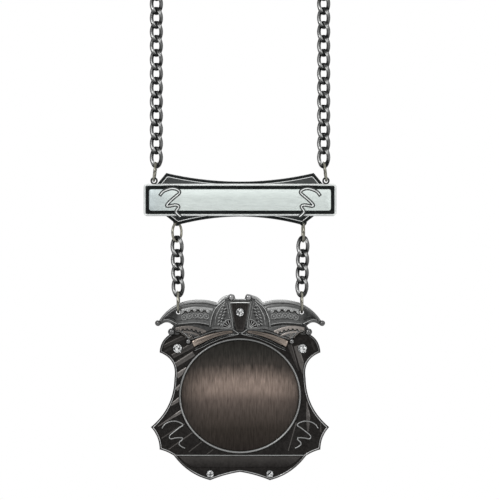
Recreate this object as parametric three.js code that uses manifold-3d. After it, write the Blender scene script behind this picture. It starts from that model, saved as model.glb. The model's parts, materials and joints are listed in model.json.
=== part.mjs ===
import * as THREE from "three";
import { mergeVertices } from "three/addons/utils/BufferGeometryUtils.js";
import Module from "manifold-3d";

const wasm = await Module();
wasm.setup();

// Sizes are in millimetres. X runs to the viewer's right, Y away from the viewer and Z up.
// The front of the medal faces -Y. Heights of the front pieces are measured from the name
// bar's middle, and their depths from the plane in which the chains hang.

// Play between two pieces that touch on the real object.
const PLAY = 0.2;
const WELD = 1e-4;
const CURVE_STEPS = 5;
const CORNER_STEPS = 2;
const LENGTH_STEPS = 2000;

// A curb link: an oval of round wire, twisted along its length so that the chain lies flat.
const LINK = { wire: 0.65, halfWidth: 2.15, halfLength: 3.55, twist: -Math.PI / 4, corners: 10, sides: 5 };
const LINK_ROUNDING = { across: 0.8, along: 0.9 };
// How much less a link's length than its width counts in the direction that is outwards.
const LINK_FLATTENING = 2.5;
// Distance between neighbours that just touch, and how far they bite or stand apart.
const TOUCHING_PITCH = 5.94;
const NECK_PITCH = TOUCHING_PITCH + 0.1;
const HANGER_PITCH = TOUCHING_PITCH - 0.12;
// The two halves of the neck chain hang loose in each other at the nape.
const NAPE_SLACK = (NECK_PITCH - HANGER_PITCH) / 2;
const LINKS_PER_SIDE = 42;
const HANGER_LINKS = 4;

const RING = { radius: 4, wire: 0.6, corners: 12, sides: 5 };
const MEDAL_RING = { ...RING, radius: 4.5 };

// The worn loop: two strands straight up in front, then out and back round the neck to the nape.
const NECK = { strand: 36.2, depth: 104, rise: 76, spread: 100, start: 46 };

// The name bar: a spool-shaped back plate under a long framed plate.
const BAR = { halfWidth: 41.7, halfHeight: 7, border: 0.9, channel: 1.4, corner: 1 };
const BAR_LEVEL = { back: 1, spool: -0.75, spoolFloor: -0.35, channel: -0.4, front: -1.2, streamer: -1.5 };
const SPOOL_RIM = 1.3;
const EYE = { hole: 1.2, play: 0.3, outside: 2.05, halfDepth: 0.8, sides: 14 };
const UPPER_EYE = { x: 37.2, z: 8 };
const LOWER_EYE = { x: 27.3, z: -9.7 };
// Right half of the spool, clockwise. Sag is how far an edge bows outwards from its chord.
const SPOOL = [
  { x: 0, z: 8, sag: 0 },
  { x: 31.9, z: 11.7, sag: -0.92 },
  { x: 35.8, z: 7, sag: 0 },
  { x: 32, z: -7, sag: 0 },
  { x: 27.1, z: -10.9, sag: 0 },
  { x: 0, z: -7.2, sag: -0.87 },
];

// The medal, measured from the middle of its round field.
const MEDAL_LEVEL = {
  back: 1.5, floor: -0.1, streamer: -0.6, rim: -0.75, field: 0, fieldRim: -1.1,
  cap: -0.9, wing: -1.35, flap: -1.2, peak: -1.5, middle: -1.1, visor: -1.7,
};
const FIELD = { halfWidth: 25.5, halfHeight: 24, rim: 1, corners: 36 };
const SHIELD_RIM = 1;
const SHIELD = [
  { x: 0, z: 28, sag: 0 },
  { x: 24.5, z: 27.1, sag: 0 },
  { x: 34.8, z: 18.7, sag: 2.4 },
  { x: 28.4, z: 7.6, sag: -2.6 },
  { x: 38.6, z: -13.6, sag: -2.7 },
  { x: 34.8, z: -23.3, sag: -1 },
  { x: 28.6, z: -26, sag: -0.3 },
  { x: 12.9, z: -36.6, sag: 1.7 },
  { x: 0, z: -33, sag: -0.4 },
];
const CAP = [
  { x: 0, z: 41.9, sag: 0 },
  { x: 1.9, z: 41.9, sag: 0 },
  { x: 3.7, z: 43.7, sag: 0.3 },
  { x: 9.8, z: 40.3, sag: 1 },
  { x: 18, z: 41.6, sag: 0.45 },
  { x: 35.4, z: 32, sag: 2.7 },
  { x: 34.4, z: 30.6, sag: 0 },
  { x: 28.8, z: 30.2, sag: -1.3 },
  { x: 29.6, z: 27.2, sag: 0.5 },
  { x: 22.4, z: 24.4, sag: -1.4 },
  { x: 0, z: 26.2, sag: 0 },
];
// Raised panels of the right half of the cap, clockwise.
const WING = [
  { x: 12.1, z: 38.9, sag: 0 },
  { x: 18, z: 39.7, sag: 0.3 },
  { x: 34, z: 32.7, sag: 2.3 },
  { x: 27.6, z: 31.2, sag: -0.5 },
  { x: 13.5, z: 31.4, sag: 0 },
  { x: 12.1, z: 38.9, sag: 0.3 },
];
const FLAP = [
  { x: 13.5, z: 30.7, sag: 0 },
  { x: 29.2, z: 28.6, sag: 0.9 },
  { x: 22.5, z: 24.8, sag: -1.2 },
  { x: 13.5, z: 28, sag: 0 },
];
const PEAK = [
  { x: 4.7, z: 41.6, sag: 0 },
  { x: 9.4, z: 39.8, sag: 0.4 },
  { x: 12.8, z: 29.3, sag: 0.6 },
  { x: 2.4, z: 29, sag: 0.2 },
  { x: 4.7, z: 41.6, sag: 0 },
];
const MIDDLE = [
  { x: 0, z: 40.9, sag: 0 },
  { x: 4.1, z: 40.9, sag: 0 },
  { x: 1.6, z: 28.1, sag: 0.2 },
  { x: 0, z: 28.1, sag: 0 },
];
const VISOR = [
  { x: 2.8, z: 28.6, sag: 0 },
  { x: 20.7, z: 24.2, sag: 0.9 },
  { x: 19.6, z: 20.9, sag: 0 },
  { x: 2.8, z: 26.6, sag: -1.3 },
  { x: 2.8, z: 28.6, sag: 0 },
];
const BELLS = [
  { x: 3.7, z: 42.6, radius: 1.5 },
  { x: 35.5, z: 31.4, radius: 1.3 },
  { x: 29.6, z: 27.6, radius: 1.6 },
  { x: 22.4, z: 23.5, radius: 1.25 },
];
const BELL_DEPTH = -0.6;
const BELL_SIDES = { around: 8, over: 6 };
const LOWER_LINE = { halfWidth: 28.4, z: -25.8, halfHeight: 0.3 };
// A hole through the thick wing needs more play, as the ring curves inside it.
const HOLE = { x: 26.7, z: 35.8, radius: 1.4, play: 0.55, sides: 14 };

// Streamers: the turns of the right-hand one; the left-hand one is its mirror image.
const STREAMER_HALF_WIDTH = 0.37;
const STREAMER_STEPS = 18;
const MEDAL_STREAMER = [
  { x: 33.8, z: -14.1 }, { x: 28.1, z: -11 }, { x: 24.6, z: -12.8 }, { x: 30.4, z: -17.6 },
  { x: 25.2, z: -18.3 }, { x: 26.3, z: -21 }, { x: 23.8, z: -22.7 },
];
const BAR_STREAMER = [
  { x: 34.8, z: 1.7 }, { x: 29.8, z: 4.9 }, { x: 26.2, z: 3.1 }, { x: 31.5, z: -2.1 },
  { x: 26.5, z: -2.9 }, { x: 27.6, z: -5.3 }, { x: 25.7, z: -7.3 },
];

// Cut stones, each with the size of its girdle. Proportions are shares of the girdle.
const STONE = { table: 0.58, crown: 0.32, pavilion: 0.75, girdle: 0.08, sides: 8, stand: 0.15 };
const STONES = [
  { name: "stone_cap", x: 0, z: 36.1, radius: 1.75, level: MEDAL_LEVEL.middle },
  { name: "stone_left", x: -27, z: 20.4, radius: 1.95, level: MEDAL_LEVEL.floor },
  { name: "stone_right", x: 27, z: 20.4, radius: 1.95, level: MEDAL_LEVEL.floor },
  { name: "stone_foot_left", x: -12.9, z: -33.9, radius: 1.6, level: MEDAL_LEVEL.floor },
  { name: "stone_foot_right", x: 12.9, z: -33.9, radius: 1.6, level: MEDAL_LEVEL.floor },
];
const COLLET_WALL = 0.5;
const SEAT_MOUTH = 2;

const ANTIQUE = { color: 0x4a4a4a, metalness: 1, roughness: 0.45 };
const SILVER = { color: 0xb9beb9, metalness: 1, roughness: 0.35 };
const CHAIN = { color: 0x7d7f80, metalness: 1, roughness: 0.3 };
const NICKEL = { color: 0xb3ad98, metalness: 1, roughness: 0.3 };
const CRYSTAL = { color: 0xf0f4f6, metalness: 0, roughness: 0.05 };

// A closed surface as a solid that can be joined and cut.
function solid(geometry) {
  geometry.deleteAttribute("normal");
  geometry.deleteAttribute("uv");
  const welded = mergeVertices(geometry, WELD);
  const vertProperties = new Float32Array(welded.attributes.position.array);
  const triVerts = new Uint32Array(welded.index.array);
  return new wasm.Manifold(new wasm.Mesh({ numProp: 3, vertProperties, triVerts }));
}

function surface(body) {
  const mesh = body.getMesh();
  const geometry = new THREE.BufferGeometry();
  geometry.setAttribute("position", new THREE.BufferAttribute(mesh.vertProperties, 3));
  geometry.setIndex(new THREE.BufferAttribute(mesh.triVerts, 1));
  return geometry;
}

const join = (bodies) => bodies.reduce((all, next) => all.add(next));
const cut = (body, tools) => tools.reduce((rest, tool) => rest.subtract(tool), body);

// Points along a table's edges, each bowed out from its chord by the sag of its end.
function follow(rows) {
  const points = [];
  for (let i = 1; i < rows.length; i += 1) {
    const from = new THREE.Vector2(rows[i - 1].x, rows[i - 1].z);
    const to = new THREE.Vector2(rows[i].x, rows[i].z);
    const outwards = new THREE.Vector2(from.y - to.y, to.x - from.x).normalize();
    const middle = from.clone().lerp(to, 0.5).addScaledVector(outwards, 2 * rows[i].sag);
    const steps = rows[i].sag === 0 ? 1 : CURVE_STEPS;
    points.push(...new THREE.QuadraticBezierCurve(from, middle, to).getPoints(steps).slice(0, -1));
  }
  const last = rows[rows.length - 1];
  points.push(new THREE.Vector2(last.x, last.z));
  return points;
}

const flip = (points) => points.map((point) => new THREE.Vector2(-point.x, point.y)).reverse();

// The whole outline of a table that starts and ends on the middle line.
function bothHalves(rows) {
  const right = follow(rows);
  return [...right, ...flip(right).slice(1, -1)];
}

// A closed clockwise outline moved inwards by a width.
function inset(points, width) {
  return points.map((point, i) => {
    const before = points[(i + points.length - 1) % points.length];
    const after = points[(i + 1) % points.length];
    const first = point.clone().sub(before).normalize();
    const second = after.clone().sub(point).normalize();
    const across = new THREE.Vector2(first.y + second.y, -first.x - second.x);
    return point.clone().addScaledVector(across, width / (1 + first.dot(second)));
  });
}

// An outline cast as a flat piece from its back to its front.
function slab(points, back, front) {
  const casting = { depth: back - front, bevelEnabled: false };
  const geometry = new THREE.ExtrudeGeometry(new THREE.Shape(points), casting);
  return solid(geometry.rotateX(Math.PI / 2).translate(0, back, 0));
}

// The same panel on both halves.
function pair(rows, back, front) {
  const points = follow(rows).slice(0, -1);
  return slab(points, back, front).add(slab(flip(points), back, front));
}

function rectangle(halfWidth, halfHeight, z = 0) {
  return [
    new THREE.Vector2(-halfWidth, z + halfHeight), new THREE.Vector2(halfWidth, z + halfHeight),
    new THREE.Vector2(halfWidth, z - halfHeight), new THREE.Vector2(-halfWidth, z - halfHeight),
  ];
}

function roundedRectangle(halfWidth, halfHeight, radius) {
  const shape = new THREE.Shape();
  const corner = (x, z, start) => shape.absarc(x, z, radius, start, start + Math.PI / 2);
  corner(halfWidth - radius, halfHeight - radius, 0);
  corner(radius - halfWidth, halfHeight - radius, Math.PI / 2);
  corner(radius - halfWidth, radius - halfHeight, Math.PI);
  corner(halfWidth - radius, radius - halfHeight, 1.5 * Math.PI);
  return shape.getPoints(CORNER_STEPS);
}

function oval(halfWidth, halfHeight, corners) {
  return new THREE.EllipseCurve(0, 0, halfWidth, halfHeight).getPoints(corners).slice(0, -1);
}

// A round pin or hole that runs through a plate from back to front.
function pin(x, z, radius, halfDepth, sides) {
  return solid(new THREE.CylinderGeometry(radius, radius, 2 * halfDepth, sides).translate(x, 0, z));
}

// A profile of radius and height turned about the middle of a stone's seat; up is to the front.
function turned(profile, sides, x, front, z) {
  const points = profile.map(([radius, height]) => new THREE.Vector2(radius, height));
  return solid(new THREE.LatheGeometry(points, sides).rotateX(Math.PI).translate(x, front, z));
}

// A flat ribbon that winds through the table's turns, and its mirror image.
function streamers(rows, back, front) {
  const course = new THREE.SplineCurve(rows.map((row) => new THREE.Vector2(row.x, row.z)));
  const left = [];
  const right = [];
  for (let i = 0; i <= STREAMER_STEPS; i += 1) {
    const point = course.getPoint(i / STREAMER_STEPS);
    const along = course.getTangent(i / STREAMER_STEPS);
    const across = new THREE.Vector2(-along.y, along.x).multiplyScalar(STREAMER_HALF_WIDTH);
    left.push(point.clone().add(across));
    right.push(point.clone().sub(across));
  }
  const outline = [...left, ...right.reverse()];
  return slab(outline, back, front).add(slab(flip(outline), back, front));
}

// The wire's middle line round a link: a rounded oval, turned more and more towards its ends.
function linkCourse() {
  const shaped = (value, power) => Math.sign(value) * Math.abs(value) ** power;
  const nearestEnd = Math.floor(LINK.corners / 4);
  const tallest = Math.sin((2 * Math.PI * nearestEnd) / LINK.corners) ** LINK_ROUNDING.along;
  return Array.from({ length: LINK.corners }, (_, i) => {
    const angle = (2 * Math.PI * i) / LINK.corners;
    const across = LINK.halfWidth * shaped(Math.cos(angle), LINK_ROUNDING.across);
    const height = shaped(Math.sin(angle), LINK_ROUNDING.along) / tallest;
    const turn = LINK.twist * height;
    return new THREE.Vector3(across * Math.cos(turn), across * Math.sin(turn), height * LINK.halfLength);
  });
}

// One link round the origin, its length along Z and its flat side to the front.
function link() {
  const course = linkCourse();
  const positions = [];
  const triangles = [];
  course.forEach((point, i) => {
    const before = course[(i + LINK.corners - 1) % LINK.corners];
    const after = course[(i + 1) % LINK.corners];
    const arriving = point.clone().sub(before).normalize();
    const leaving = after.clone().sub(point).normalize();
    const along = arriving.add(leaving).normalize();
    const outwards = new THREE.Vector3(point.x, point.y, point.z / LINK_FLATTENING);
    outwards.addScaledVector(along, -outwards.dot(along)).normalize();
    const sideways = new THREE.Vector3().crossVectors(along, outwards);
    for (let side = 0; side < LINK.sides; side += 1) {
      const angle = (2 * Math.PI * (side + 0.5)) / LINK.sides;
      const corner = point.clone().addScaledVector(outwards, LINK.wire * Math.cos(angle));
      positions.push(...corner.addScaledVector(sideways, LINK.wire * Math.sin(angle)).toArray());
      const next = (side + 1) % LINK.sides;
      const here = i * LINK.sides;
      const there = ((i + 1) % LINK.corners) * LINK.sides;
      triangles.push(here + side, here + next, there + next, here + side, there + next, there + side);
    }
  });
  const geometry = new THREE.BufferGeometry();
  geometry.setAttribute("position", new THREE.Float32BufferAttribute(positions, 3));
  return geometry.setIndex(triangles);
}

// The left half of the neck chain's course, from its lower end up and round to the nape.
function neckCourse(lowerEnd) {
  const bend = new THREE.CubicBezierCurve3(
    new THREE.Vector3(-NECK.strand, 0, 0),
    new THREE.Vector3(-NECK.strand, 0, NECK.start),
    new THREE.Vector3(-NECK.spread, NECK.depth, NECK.rise),
    new THREE.Vector3(0, NECK.depth, NECK.rise),
  );
  bend.arcLengthDivisions = LENGTH_STEPS;
  const bendLength = bend.getLength();
  const straight = LINKS_PER_SIDE * NECK_PITCH - NAPE_SLACK - bendLength;
  const top = new THREE.Vector3(0, 0, lowerEnd + straight);
  const at = (length) => {
    const share = Math.max(0, length - straight) / bendLength;
    if (share === 0) {
      const point = new THREE.Vector3(-NECK.strand, 0, lowerEnd + length);
      return { point, along: new THREE.Vector3(0, 0, 1), share };
    }
    return { point: bend.getPointAt(share).add(top), along: bend.getTangentAt(share), share };
  };
  return { at, nape: new THREE.Vector3(0, NECK.depth, NECK.rise).add(top) };
}

// Where a link sits on the course: its flat side faces the front, and outwards round the neck.
function linkPlace({ point, along, share }, mirrored) {
  const side = new THREE.Vector3(mirrored ? -1 : 1, 1, 1);
  point.multiply(side);
  along.multiply(side);
  const outwards = new THREE.Vector3(point.x, point.y - NECK.depth / 2, 0).normalize();
  const facing = new THREE.Vector3(0, -1, 0).lerp(outwards, share);
  facing.addScaledVector(along, -facing.dot(along)).normalize();
  const across = new THREE.Vector3().crossVectors(along, facing);
  return new THREE.Matrix4().makeBasis(across, facing.negate(), along).setPosition(point);
}

function neckChain(course, mirrored) {
  const links = [];
  for (let i = 0; i < LINKS_PER_SIDE; i += 1) {
    const place = linkPlace(course.at((i + 0.5) * NECK_PITCH), mirrored);
    links.push(solid(link().applyMatrix4(place)));
  }
  return surface(join(links));
}

function ring({ radius, wire, corners, sides }) {
  return new THREE.TorusGeometry(radius, wire, sides, corners).rotateY(Math.PI / 2);
}

// How far from a ring's middle a link's end hangs in it.
const linkInRing = ({ radius, wire }) => radius - wire - LINK.wire - PLAY;

function nameBar() {
  const spool = bothHalves(SPOOL);
  const inner = { x: BAR.halfWidth - BAR.border, z: BAR.halfHeight - BAR.border };
  const plate = roundedRectangle(inner.x - BAR.channel, inner.z - BAR.channel, BAR.corner);
  const backPlate = cut(slab(spool, BAR_LEVEL.back, BAR_LEVEL.spool), [
    slab(inset(spool, SPOOL_RIM), BAR_LEVEL.spoolFloor, BAR_LEVEL.front),
  ]);
  const frame = cut(slab(rectangle(BAR.halfWidth, BAR.halfHeight), BAR_LEVEL.back, BAR_LEVEL.front), [
    slab(rectangle(inner.x, inner.z), BAR_LEVEL.channel, 2 * BAR_LEVEL.front),
  ]);
  const eyes = [UPPER_EYE, LOWER_EYE].flatMap(({ x, z }) => [{ x, z }, { x: -x, z }]);
  const lugs = eyes.map(({ x, z }) => pin(x, z, EYE.outside, EYE.halfDepth, EYE.sides));
  const holes = eyes.map(({ x, z }) => pin(x, z, EYE.hole, 2 * EYE.halfDepth, EYE.sides));
  const raised = [
    slab(plate, BAR_LEVEL.back, BAR_LEVEL.front),
    streamers(BAR_STREAMER, 0, BAR_LEVEL.streamer),
  ];
  return surface(cut(join([backPlate, frame, ...lugs, ...raised]), holes));
}

function bells() {
  return BELLS.flatMap(({ x, z, radius }) => [x, -x].map((side) => {
    const ball = new THREE.SphereGeometry(radius, BELL_SIDES.around, BELL_SIDES.over);
    return solid(ball.rotateX(Math.PI / 2).translate(side, BELL_DEPTH, z));
  }));
}

// The seat of a stone: a raised collar, and the hollow that the stone stands in.
function collar({ x, z, radius, level }) {
  const outside = radius + PLAY + COLLET_WALL;
  return pin(x, z, outside, Math.abs(level) + STONE.stand, 2 * STONE.sides);
}

function seat({ x, z, radius, level }) {
  const wide = radius + PLAY;
  const profile = [[0, -radius * STONE.pavilion - PLAY], [wide, 0], [wide, SEAT_MOUTH], [0, SEAT_MOUTH]];
  return turned(profile, STONE.sides, x, level - STONE.stand, z);
}

function stone({ x, z, radius, level }) {
  const profile = [
    [0, -radius * STONE.pavilion], [radius, 0], [radius, radius * STONE.girdle],
    [radius * STONE.table, radius * STONE.crown], [0, radius * STONE.crown],
  ];
  return surface(turned(profile, STONE.sides, x, level - STONE.stand, z));
}

function medal() {
  const outline = bothHalves(SHIELD);
  const ground = inset(outline, SHIELD_RIM);
  const around = { x: FIELD.halfWidth + FIELD.rim, z: FIELD.halfHeight + FIELD.rim };
  const { back, floor, rim } = MEDAL_LEVEL;
  const shield = cut(slab(outline, back, rim), [slab(ground, floor, 2 * rim)]);
  const relief = [
    streamers(MEDAL_STREAMER, back / 2, MEDAL_LEVEL.streamer),
    slab(rectangle(LOWER_LINE.halfWidth, LOWER_LINE.halfHeight, LOWER_LINE.z), back, rim),
    slab(oval(around.x, around.z, FIELD.corners), back, MEDAL_LEVEL.fieldRim),
  ];
  const ovalField = oval(FIELD.halfWidth, FIELD.halfHeight, FIELD.corners);
  const field = slab(ovalField, MEDAL_LEVEL.field, 2 * MEDAL_LEVEL.fieldRim);
  const cap = [
    slab(bothHalves(CAP), back, MEDAL_LEVEL.cap),
    pair(WING, 0, MEDAL_LEVEL.wing),
    pair(FLAP, 0, MEDAL_LEVEL.flap),
    pair(PEAK, 0, MEDAL_LEVEL.peak),
    pair(VISOR, 0, MEDAL_LEVEL.visor),
    slab(bothHalves(MIDDLE), 0, MEDAL_LEVEL.middle),
    ...bells(),
  ];
  const holes = [HOLE.x, -HOLE.x].map((x) => pin(x, HOLE.z, HOLE.radius, 2 * back, HOLE.sides));
  const cast = cut(join([shield, ...relief]), [field]);
  return surface(cut(join([cast, ...STONES.map(collar), ...cap]), [...holes, ...STONES.map(seat)]));
}

const front = new THREE.Group();

function add(name, geometry, finish, place = {}) {
  const mesh = new THREE.Mesh(geometry, new THREE.MeshStandardMaterial(finish));
  mesh.name = name;
  mesh.position.set(place.x ?? 0, 0, place.z ?? 0);
  mesh.rotation.y = place.lean ?? 0;
  front.add(mesh);
}

// Heights, worked out from the upper eyes up and from the lower eyes down.
const eyeToRing = EYE.hole - EYE.play + RING.radius - RING.wire;
const neckRing = UPPER_EYE.z + eyeToRing;
const barRing = LOWER_EYE.z - eyeToRing;
const firstLink = barRing - linkInRing(RING) - LINK.halfLength;
const lastLink = firstLink - (HANGER_LINKS - 1) * HANGER_PITCH;
const medalRing = lastLink - LINK.halfLength - linkInRing(MEDAL_RING);
const medalHole = medalRing - (HOLE.radius - HOLE.play + MEDAL_RING.radius - MEDAL_RING.wire);
const medalMiddle = medalHole - HOLE.z;
const neckCourseEnd = neckRing + linkInRing(RING) + LINK.halfLength - NECK_PITCH / 2;

// A neck ring leans in from its eye to the strand that hangs nearer the middle.
const neckRingX = (UPPER_EYE.x + NECK.strand) / 2;
const ringLean = Math.asin((UPPER_EYE.x - NECK.strand) / (2 * RING.radius));

const course = neckCourse(neckCourseEnd);
add("name_bar", nameBar(), SILVER);
add("medal", medal(), ANTIQUE, { z: medalMiddle });
STONES.forEach((row) => add(row.name, stone(row), CRYSTAL, { z: medalMiddle }));
for (const [side, sign] of [["left", -1], ["right", 1]]) {
  add(`neck_chain_${side}`, neckChain(course, sign > 0), CHAIN);
  const leaning = { x: sign * neckRingX, z: neckRing, lean: -sign * ringLean };
  add(`neck_ring_${side}`, ring(RING), NICKEL, leaning);
  add(`bar_ring_${side}`, ring(RING), NICKEL, { x: sign * LOWER_EYE.x, z: barRing });
  add(`medal_ring_${side}`, ring(MEDAL_RING), NICKEL, { x: sign * HOLE.x, z: medalRing });
  for (let i = 0; i < HANGER_LINKS; i += 1) {
    const x = THREE.MathUtils.lerp(LOWER_EYE.x, HOLE.x, (i + 0.5) / HANGER_LINKS);
    const z = firstLink - i * HANGER_PITCH;
    add(`hanger_link_${side}_${i + 1}`, link(), CHAIN, { x: sign * x, z });
  }
}

// The part's origin is the nape, where the wearer's neck carries the chain.
front.position.copy(course.nape).negate();
const part = new THREE.Group();
part.add(front);

export default part;
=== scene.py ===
# %% [markdown]
# A carnival order: a shield-shaped medal under a fool's cap, hung by two short chains from a name bar, and
# worn on a curb chain round the neck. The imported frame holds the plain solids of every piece. This lesson
# makes the fine relief, the wire links and the antique finishes around them, in the same place.

# %% Load the frame
import json
import math

import bmesh
import bpy
import numpy as np
from mathutils import Matrix, Vector, geometry


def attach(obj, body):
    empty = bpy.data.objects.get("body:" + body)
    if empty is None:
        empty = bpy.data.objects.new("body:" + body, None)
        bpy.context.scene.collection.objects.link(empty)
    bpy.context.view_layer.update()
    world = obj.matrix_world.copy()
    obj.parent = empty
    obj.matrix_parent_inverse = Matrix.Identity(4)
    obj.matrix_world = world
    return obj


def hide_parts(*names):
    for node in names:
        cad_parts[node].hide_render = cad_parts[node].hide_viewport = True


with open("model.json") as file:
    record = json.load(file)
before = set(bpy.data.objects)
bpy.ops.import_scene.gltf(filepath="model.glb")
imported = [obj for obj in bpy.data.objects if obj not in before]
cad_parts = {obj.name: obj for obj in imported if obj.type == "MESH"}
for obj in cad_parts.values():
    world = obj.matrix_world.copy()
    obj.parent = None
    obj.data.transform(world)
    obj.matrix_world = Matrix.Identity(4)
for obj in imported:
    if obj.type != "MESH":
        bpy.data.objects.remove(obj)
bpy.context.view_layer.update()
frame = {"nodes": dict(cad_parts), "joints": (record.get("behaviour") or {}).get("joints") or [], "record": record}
mounts = {mount["name"]: Vector(mount["pos_m"]) for mount in frame["record"]["mounts"]}
joints = {joint["name"]: Vector(joint["pos_m"]) for joint in frame["joints"]}
MM = 0.001
print("nodes:", len(frame["nodes"]), "mounts:", sorted(mounts), "joints:", sorted(joints))

# %% [markdown]
# The medal was photographed straight from the front. A long lens far away keeps the perspective flat. The
# frame of the picture is 217 mm wide at the medal, and the loop round the neck stays above its upper edge.

# %% The camera
CAMERA_DISTANCE = 2.0
SENSOR_WIDTH = 36.0
PICTURE_WIDTH = 0.2164
PICTURE_MIDDLE = Vector((0.0041, joints["bar_swing"].y, -0.19127))

lens = bpy.data.cameras.new("long lens")
lens.sensor_width = SENSOR_WIDTH
lens.lens = SENSOR_WIDTH * CAMERA_DISTANCE / PICTURE_WIDTH
camera = bpy.data.objects.new("camera", lens)
camera.location = PICTURE_MIDDLE - Vector((0, CAMERA_DISTANCE, 0))
camera.rotation_euler = (math.pi / 2, 0, 0)
bpy.context.scene.collection.objects.link(camera)
bpy.context.scene.camera = camera
print("lens:", round(lens.lens), "mm")

# %% [markdown]
# The background of the photograph is pure white, but a polished metal that mirrors pure white on all sides
# looks flat. So the world is white only where the camera looks at it directly. What the metal mirrors is a
# grey room, bright above and dark below, which draws every edge of the relief.

# %% The studio
ROOM_SHADES = ((0.0, 0.10), (0.42, 0.22), (0.53, 0.50), (0.75, 0.95), (1.0, 1.25))
FLOOR_HEIGHT = -0.42
FLOOR_RADIUS = 1.8
FLOOR_SIDES = 96


def new_node(tree, kind, **settings):
    """Adds a node and sets its properties."""
    node = tree.nodes.new(kind)
    for name, value in settings.items():
        setattr(node, name, value)
    return node


def fill_ramp(ramp, stops):
    """Sets a colour ramp to stops of position and shade, or position and colour."""
    elements = ramp.color_ramp.elements
    while len(elements) < len(stops):
        elements.new(0.5)
    for element, (position, shade) in zip(elements, stops):
        element.position = position
        element.color = (*shade, 1) if isinstance(shade, tuple) else (shade, shade, shade, 1)


def make_world():
    """A room that is white to the camera and graded to everything else."""
    world = bpy.data.worlds.new("studio")
    world.use_nodes = True
    tree = world.node_tree
    tree.nodes.clear()
    place = new_node(tree, "ShaderNodeTexCoord")
    split = new_node(tree, "ShaderNodeSeparateXYZ")
    level = new_node(tree, "ShaderNodeMapRange")
    level.inputs["From Min"].default_value = -1
    ramp = new_node(tree, "ShaderNodeValToRGB")
    fill_ramp(ramp, ROOM_SHADES)
    room = new_node(tree, "ShaderNodeBackground")
    white = new_node(tree, "ShaderNodeBackground")
    white.inputs["Color"].default_value = (1, 1, 1, 1)
    path = new_node(tree, "ShaderNodeLightPath")
    mix = new_node(tree, "ShaderNodeMixShader")
    output = new_node(tree, "ShaderNodeOutputWorld")
    tree.links.new(place.outputs["Generated"], split.inputs["Vector"])
    tree.links.new(split.outputs["Z"], level.inputs["Value"])
    tree.links.new(level.outputs["Result"], ramp.inputs["Fac"])
    tree.links.new(ramp.outputs["Color"], room.inputs["Color"])
    tree.links.new(path.outputs["Is Camera Ray"], mix.inputs["Fac"])
    tree.links.new(room.outputs["Background"], mix.inputs[1])
    tree.links.new(white.outputs["Background"], mix.inputs[2])
    tree.links.new(mix.outputs["Shader"], output.inputs["Surface"])
    return world


LAMPS = (
    ("key", (-0.7, -1.3, 0.55), 0.7, 11.0),
    ("fill", (0.9, -1.2, 0.15), 0.6, 5.0),
    ("back", (0.2, 1.2, 0.6), 0.8, 8.0),
)


def make_lamp(name, place, size, power):
    """A square soft lamp that shines at the middle of the picture."""
    lamp = bpy.data.lights.new(name, "AREA")
    lamp.size = size
    lamp.energy = power
    holder = bpy.data.objects.new(name, lamp)
    holder.location = place
    holder.rotation_euler = (PICTURE_MIDDLE - Vector(place)).to_track_quat("-Z", "Y").to_euler()
    bpy.context.scene.collection.objects.link(holder)


bpy.context.scene.world = make_world()
bpy.context.scene.view_settings.view_transform = "Standard"
for row in LAMPS:
    make_lamp(*row)
print("lamps:", len(LAMPS))

# %% [markdown]
# An antique finish is a black patina that has been rubbed off wherever the relief stands up. The script knows
# how high every point of the relief is, so each mesh carries a value, its rub, from 0 in the recesses to 1 on
# the ridges. On several pieces that value also holds painted shade, such as on the tips of the cap and under
# them, and on the chain it holds painted glints and shade. One node group turns that value into the mix of
# patina and bare metal, with uneven patches.

# %% Shared finishes
CAST_PATCHES = 900.0
CAST_TOOTH = 2500.0
ROUGH_CLOUDS = 160.0
BRUSH_SCALE = 1000.0


def open_group(name, inputs, outputs):
    """A shader node group with named sockets, its input node and its output node."""
    group = bpy.data.node_groups.new(name, "ShaderNodeTree")
    for label, kind, value in inputs:
        socket = group.interface.new_socket(label, in_out="INPUT", socket_type=kind)
        socket.default_value = value
    for label, kind in outputs:
        group.interface.new_socket(label, in_out="OUTPUT", socket_type=kind)
    return group, new_node(group, "NodeGroupInput"), new_node(group, "NodeGroupOutput")


def noise_on_object(tree, scale, detail=4.0, stretch=(1, 1, 1)):
    """A noise texture on Object coordinates, stretched along each axis."""
    place = new_node(tree, "ShaderNodeTexCoord")
    mapping = new_node(tree, "ShaderNodeMapping")
    mapping.inputs["Scale"].default_value = stretch
    noise = new_node(tree, "ShaderNodeTexNoise")
    noise.inputs["Scale"].default_value = scale
    noise.inputs["Detail"].default_value = detail
    tree.links.new(place.outputs["Object"], mapping.inputs["Vector"])
    tree.links.new(mapping.outputs["Vector"], noise.inputs["Vector"])
    return noise


def spread(tree, source, low, high, to_low, to_high):
    """Maps a value from one range to another, clamped."""
    node = new_node(tree, "ShaderNodeMapRange")
    tree.links.new(source, node.inputs["Value"])
    for label, value in zip(("From Min", "From Max", "To Min", "To Max"), (low, high, to_low, to_high)):
        node.inputs[label].default_value = value
    return node.outputs["Result"]


def arithmetic(tree, operation, first, second):
    """One step of arithmetic on two sockets or numbers."""
    node = new_node(tree, "ShaderNodeMath", operation=operation)
    for socket, value in zip(node.inputs, (first, second)):
        if isinstance(value, (int, float)):
            socket.default_value = value
        else:
            tree.links.new(value, socket)
    return node.outputs["Value"]


def blend_colours(tree, share, first, second):
    """Mixes two colours by a share."""
    node = new_node(tree, "ShaderNodeMix", data_type="RGBA")
    tree.links.new(share, node.inputs["Factor"])
    for socket, value in zip((node.inputs[6], node.inputs[7]), (first, second)):
        if isinstance(value, tuple):
            socket.default_value = (*value, 1)
        else:
            tree.links.new(value, socket)
    return node.outputs[2]


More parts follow.
